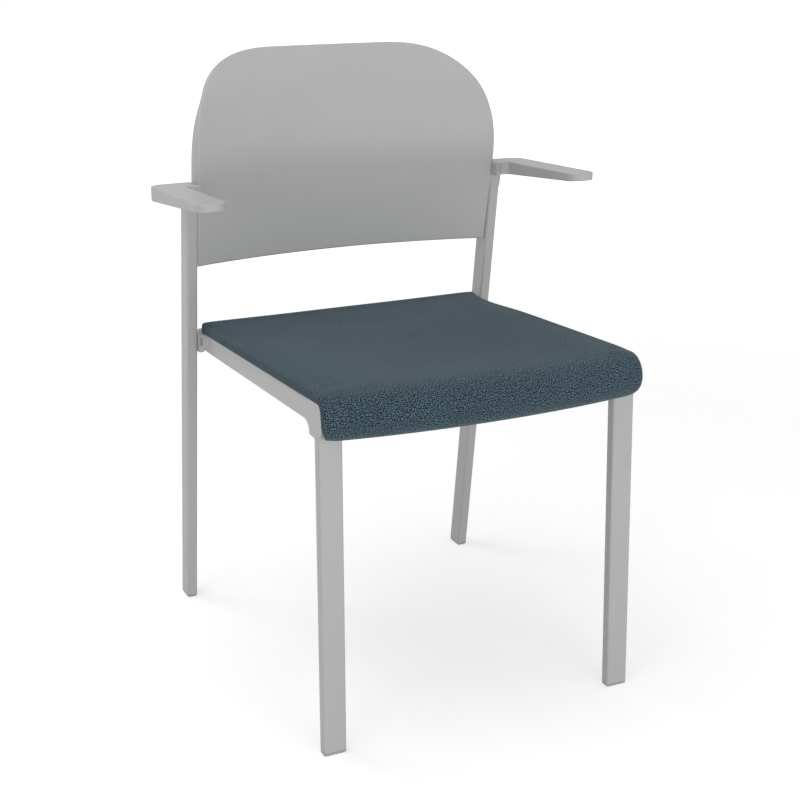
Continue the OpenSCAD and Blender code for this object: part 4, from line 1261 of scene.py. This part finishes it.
@dataclass
class SideRail:
    """A cast rail. It keeps the drawing's shape, with rolled edges and a soft channel outside. Millimetres.

    A crown rounds the outer face off towards its upper edge. A dish hollows it under the crown. The pairs
    are where each starts to grow and is full, along the rail or below and above its upper and lower lines.
    """

    outer_x: float = 221.1
    top_z: float = 467.7
    slope: float = math.tan(math.radians(3.25))
    tall: float = 29.3
    low_tilt: float = 0.00854
    recess: float = 2.5
    crown: float = 3.2
    crown_h: float = 7.0
    crown_power: float = 1.5
    crown_start: tuple[float, float] = (25.0, 60.0)
    dish: float = 3.2
    dish_below: tuple[float, float] = (6.0, 9.5)
    dish_above: tuple[float, float] = (1.5, 7.0)
    dish_start: tuple[float, float] = (120.0, 230.0)
    dish_end: tuple[float, float] = (434.0, 444.0)
    edge_r: float = 1.8
    first_cut: float = 1.9
    cut_step: float = 0.9

    def top(self, y: np.ndarray) -> np.ndarray:
        """Height of the rail's upper line."""
        return self.top_z - y * self.slope

    def low(self, y: np.ndarray) -> np.ndarray:
        """Height of the rail's lower line."""
        return self.top(y) - self.tall + y * self.low_tilt

    def hollow(self, y: float, z: float) -> float:
        """Depth of the outer face at a place."""
        below, above = self.top(y) - z, z - self.low(y)
        crown = self.crown * np.clip(1 - below / self.crown_h, 0, 1) ** self.crown_power
        across = smooth_step(*self.dish_below, below) * smooth_step(*self.dish_above, above)
        along = smooth_step(*self.dish_start, y) * (1 - smooth_step(*self.dish_end, y))
        return float(crown * smooth_step(*self.crown_start, y) + self.dish * across * along)

    def cuts(self) -> list[tuple[np.ndarray, tuple[float, float, float]]]:
        """Planes that cut the outer face finely enough for its hollow, as a point in metres and a normal."""
        spans = ((self.crown_start, 5.0), (self.dish_start, 10.0), (self.dish_end, 2.0))
        depths = [y for (start, end), step in spans for y in np.arange(start, end + step / 2, step)]
        under, over = float(self.top(0.0)) - self.first_cut, float(self.low(0.0)) + self.first_cut
        cuts = [((0.0, y, 0.0), (0.0, 1.0, 0.0)) for y in depths]
        cuts += [((0.0, 0.0, under - self.cut_step * i), (0.0, self.slope, 1.0)) for i in range(9)]
        low_slope = self.slope - self.low_tilt
        cuts += [((0.0, 0.0, over + self.cut_step * i), (0.0, low_slope, 1.0)) for i in range(7)]
        return [(in_frame(np.array(spot)), normal) for spot, normal in cuts]

    def build(self, side: Side, finishes: Finishes) -> None:
        """Copies the drawn rail, cleans its faces, rolls its edges, shapes the channel and dresses it."""
        word = side.name.lower()
        node = frame["nodes"][f"{word}_side_rail"]
        rail = bpy.data.objects.new(f"{word}_cast_rail", node.data.copy())
        bpy.context.scene.collection.objects.link(rail)
        mesh = rail.data
        plane = side.value * self.outer_x / 1000
        floor = side.value * (self.outer_x - self.recess) / 1000
        near, far = sorted((plane, floor))
        activate(rail)
        bpy.ops.object.mode_set(mode="EDIT")
        bpy.ops.mesh.select_all(action="SELECT")
        bpy.ops.mesh.remove_doubles(threshold=WELD_M)
        bpy.ops.mesh.dissolve_limited(angle_limit=math.radians(1.0))
        # The drawing's recess has square walls: it is closed here, and shaped again below
        choose(mesh, "FACE", lambda f: all(near - WELD_M < v.co.x < far + WELD_M for v in f.verts)
               and any(abs(v.co.x - floor) < WELD_M for v in f.verts))
        bpy.ops.mesh.delete(type="FACE")
        choose(mesh, "EDGE", lambda e: e.is_boundary)
        bpy.ops.mesh.edge_face_add()
        bpy.ops.mesh.select_all(action="SELECT")
        bpy.ops.mesh.dissolve_limited(angle_limit=math.radians(1.0))
        bpy.ops.mesh.normals_make_consistent(inside=False)
        rolled = choose(
            mesh, "EDGE", lambda e: e.is_manifold and e.calc_face_angle_signed() > math.radians(20)
            and all(abs(v.co.x - plane) < ON_PLANE_M for v in e.verts))
        bpy.ops.mesh.bevel(offset=self.edge_r / 1000, segments=5, affect="EDGES", clamp_overlap=True)
        for spot, normal in self.cuts():
            choose(mesh, "FACE", lambda f: all(abs(v.co.x - plane) < ON_PLANE_M for v in f.verts))
            bpy.ops.mesh.bisect(plane_co=spot, plane_no=normal)
        edit = bmesh.from_edit_mesh(mesh)
        for vert in edit.verts:
            if abs(vert.co.x - plane) < self.edge_r / 1000 + ON_PLANE_M:
                vert.co.x -= side.value * self.hollow(vert.co.y * 1000 + MID_Y_MM, vert.co.z * 1000) / 1000
        bmesh.update_edit_mesh(mesh)
        bpy.ops.object.mode_set(mode="OBJECT")
        log.info("rail %s: %d outer edges rolled", word, rolled)
        close_up(rail, smooth_deg=32)
        even_normals(rail)
        finish_piece(rail, finishes.cast, (f"{word}_side_rail",))


# Surroundings


@dataclass(frozen=True)
class Lamp:
    """A soft rectangular lamp, aimed at the chair's middle."""

    name: str
    place: tuple[float, float, float]
    size: tuple[float, float]
    watts: float
    aim: tuple[float, float, float] = (0.0, 0.0, 0.45)

    def build(self) -> None:
        """Hangs the lamp."""
        data = bpy.data.lights.new(self.name, "AREA")
        data.shape, data.size, data.size_y, data.energy = "RECTANGLE", *self.size, self.watts
        lamp = bpy.data.objects.new(self.name, data)
        lamp.location = self.place
        lamp.rotation_euler = (Vector(self.aim) - Vector(self.place)).to_track_quat("-Z", "Y").to_euler()
        bpy.context.scene.collection.objects.link(lamp)


@dataclass(frozen=True)
class Studio:
    """A pale floor, an even world and soft lamps."""

    world_level: float = 0.3
    floor_size: float = 30.0
    floor_tone: float = 0.8
    near_lift: float = 0.5
    far_lift: float = 1.0
    near_r: float = 0.9
    far_r: float = 4.5
    lamps: tuple[Lamp, ...] = (
        Lamp("left_low", (-2.4, -2.4, 0.75), (1.8, 1.4), 18.0),
        Lamp("front_low", (0.3, -3.3, 0.75), (1.8, 1.4), 30.0),
        Lamp("right_low", (2.4, -2.6, 0.8), (1.8, 1.4), 12.0),
        Lamp("left_back", (-2.2, 2.4, 2.2), (1.8, 1.8), 20.0),
        Lamp("top", (0.0, 0.2, 3.2), (2.4, 2.4), 18.0),
        Lamp("top_left", (-1.6, -0.4, 2.9), (1.8, 1.8), 14.0),
    )

    @staticmethod
    def seen(w: Wiring) -> bpy.types.NodeSocket:
        """1 for rays from the camera, or from a mirror or a glass."""
        path = w.add("ShaderNodeLightPath")
        most = w.math("MAXIMUM", path.outputs["Is Camera Ray"], path.outputs["Is Glossy Ray"])
        return w.math("MAXIMUM", most, path.outputs["Is Transmission Ray"])

    def floor(self) -> None:
        """Lays the floor, which shows white to the camera except in the chair's shadow."""
        deselect()
        bpy.ops.mesh.primitive_plane_add(size=self.floor_size)
        floor = bpy.context.object
        floor.name = "studio_floor"
        material = bpy.data.materials.new("studio_floor")
        material.use_nodes = True
        w = Wiring(material.node_tree)
        tone = (self.floor_tone,) * 3 + (1.0,)
        plain = w.add("ShaderNodeBsdfDiffuse", {"Color": tone})
        place = w.add("ShaderNodeTexCoord").outputs["Object"]
        away = w.add("ShaderNodeVectorMath", {0: place}, operation="LENGTH").outputs["Value"]
        level = w.ranged(away, self.near_r, self.far_r, self.near_lift, self.far_lift)
        glow = w.math("MULTIPLY", self.seen(w), level)
        lift = w.add("ShaderNodeEmission", {"Color": (1, 1, 1, 1), "Strength": glow})
        both = w.add("ShaderNodeAddShader", {0: plain.outputs[0], 1: lift.outputs[0]})
        w.add("ShaderNodeOutputMaterial", {"Surface": both.outputs[0]})
        floor.data.materials.append(material)

    def sky(self) -> None:
        """Sets the even world, white where it is seen."""
        world = bpy.data.worlds.new("studio")
        bpy.context.scene.world = world
        world.use_nodes = True
        w = Wiring(world.node_tree)
        level = w.ranged(self.seen(w), 0.0, 1.0, self.world_level, 1.0)
        back = w.add("ShaderNodeBackground", {"Color": (1, 1, 1, 1), "Strength": level})
        w.add("ShaderNodeOutputWorld", {"Surface": back.outputs[0]})

    def build(self) -> None:
        """Sets up the floor, the world and the lamps."""
        self.floor()
        self.sky()
        for lamp in self.lamps:
            lamp.build()
        bpy.context.scene.view_settings.view_transform = "Standard"


@dataclass(frozen=True)
class PhotoCamera:
    """The camera of the photograph."""

    place_mm: tuple[float, float, float] = (-829.9, -1518.5, 1015.3)
    azimuth_deg: float = -25.05
    elevation_deg: float = 18.3
    lens_mm: float = 66.6

    def build(self) -> None:
        """Places the camera and makes it the scene's."""
        data = bpy.data.cameras.new("photo_camera")
        data.lens, data.sensor_width = self.lens_mm, 36.0
        data.clip_start, data.clip_end = 0.05, 50.0
        camera = bpy.data.objects.new("photo_camera", data)
        a, e = math.radians(self.azimuth_deg), math.radians(self.elevation_deg)
        back = Vector((math.sin(a) * math.cos(e), -math.cos(a) * math.cos(e), math.sin(e)))
        camera.location = in_frame(np.array(self.place_mm))
        camera.rotation_euler = (-back).to_track_quat("-Z", "Y").to_euler()
        bpy.context.scene.collection.objects.link(camera)
        bpy.context.scene.camera = camera


def dress_nodes(finishes: Finishes) -> None:
    """Gives every drawn node that stays its finish."""
    by_slot = {
        "frame_paint": finishes.paint, "shell_plastic": finishes.shell, "glide_plastic": finishes.glide,
        "pan_plastic": finishes.pan, "foam": finishes.cloth, "cover_fabric": finishes.cloth,
        "zinc_steel": finishes.zinc,
    }
    slots = {part["node"]: part["material_slot"] for part in frame["record"]["subparts"]}
    for name, node in frame["nodes"].items():
        material = by_slot[slots[name]]
        if node.material_slots:
            for place in node.material_slots:
                place.material = material
        else:
            node.data.materials.append(material)


def main() -> None:
    """Builds the chair's pieces and the studio."""
    PhotoCamera().build()
    Studio().build()
    finishes = Finishes()
    dress_nodes(finishes)
    form = SeatForm()
    upright = Upright()
    SeatPad(form).build(finishes)
    BackShell().build(finishes)
    for side in Side:
        Armrest(upright).build(side, finishes)
        SideRail().build(side, finishes)
        Tube(FrontLeg(), "front_leg", 420.0).build(side, finishes)
        Tube(upright, "upright", 652.7).build(side, finishes)
    deselect()


if __name__ == "__main__":
    main()
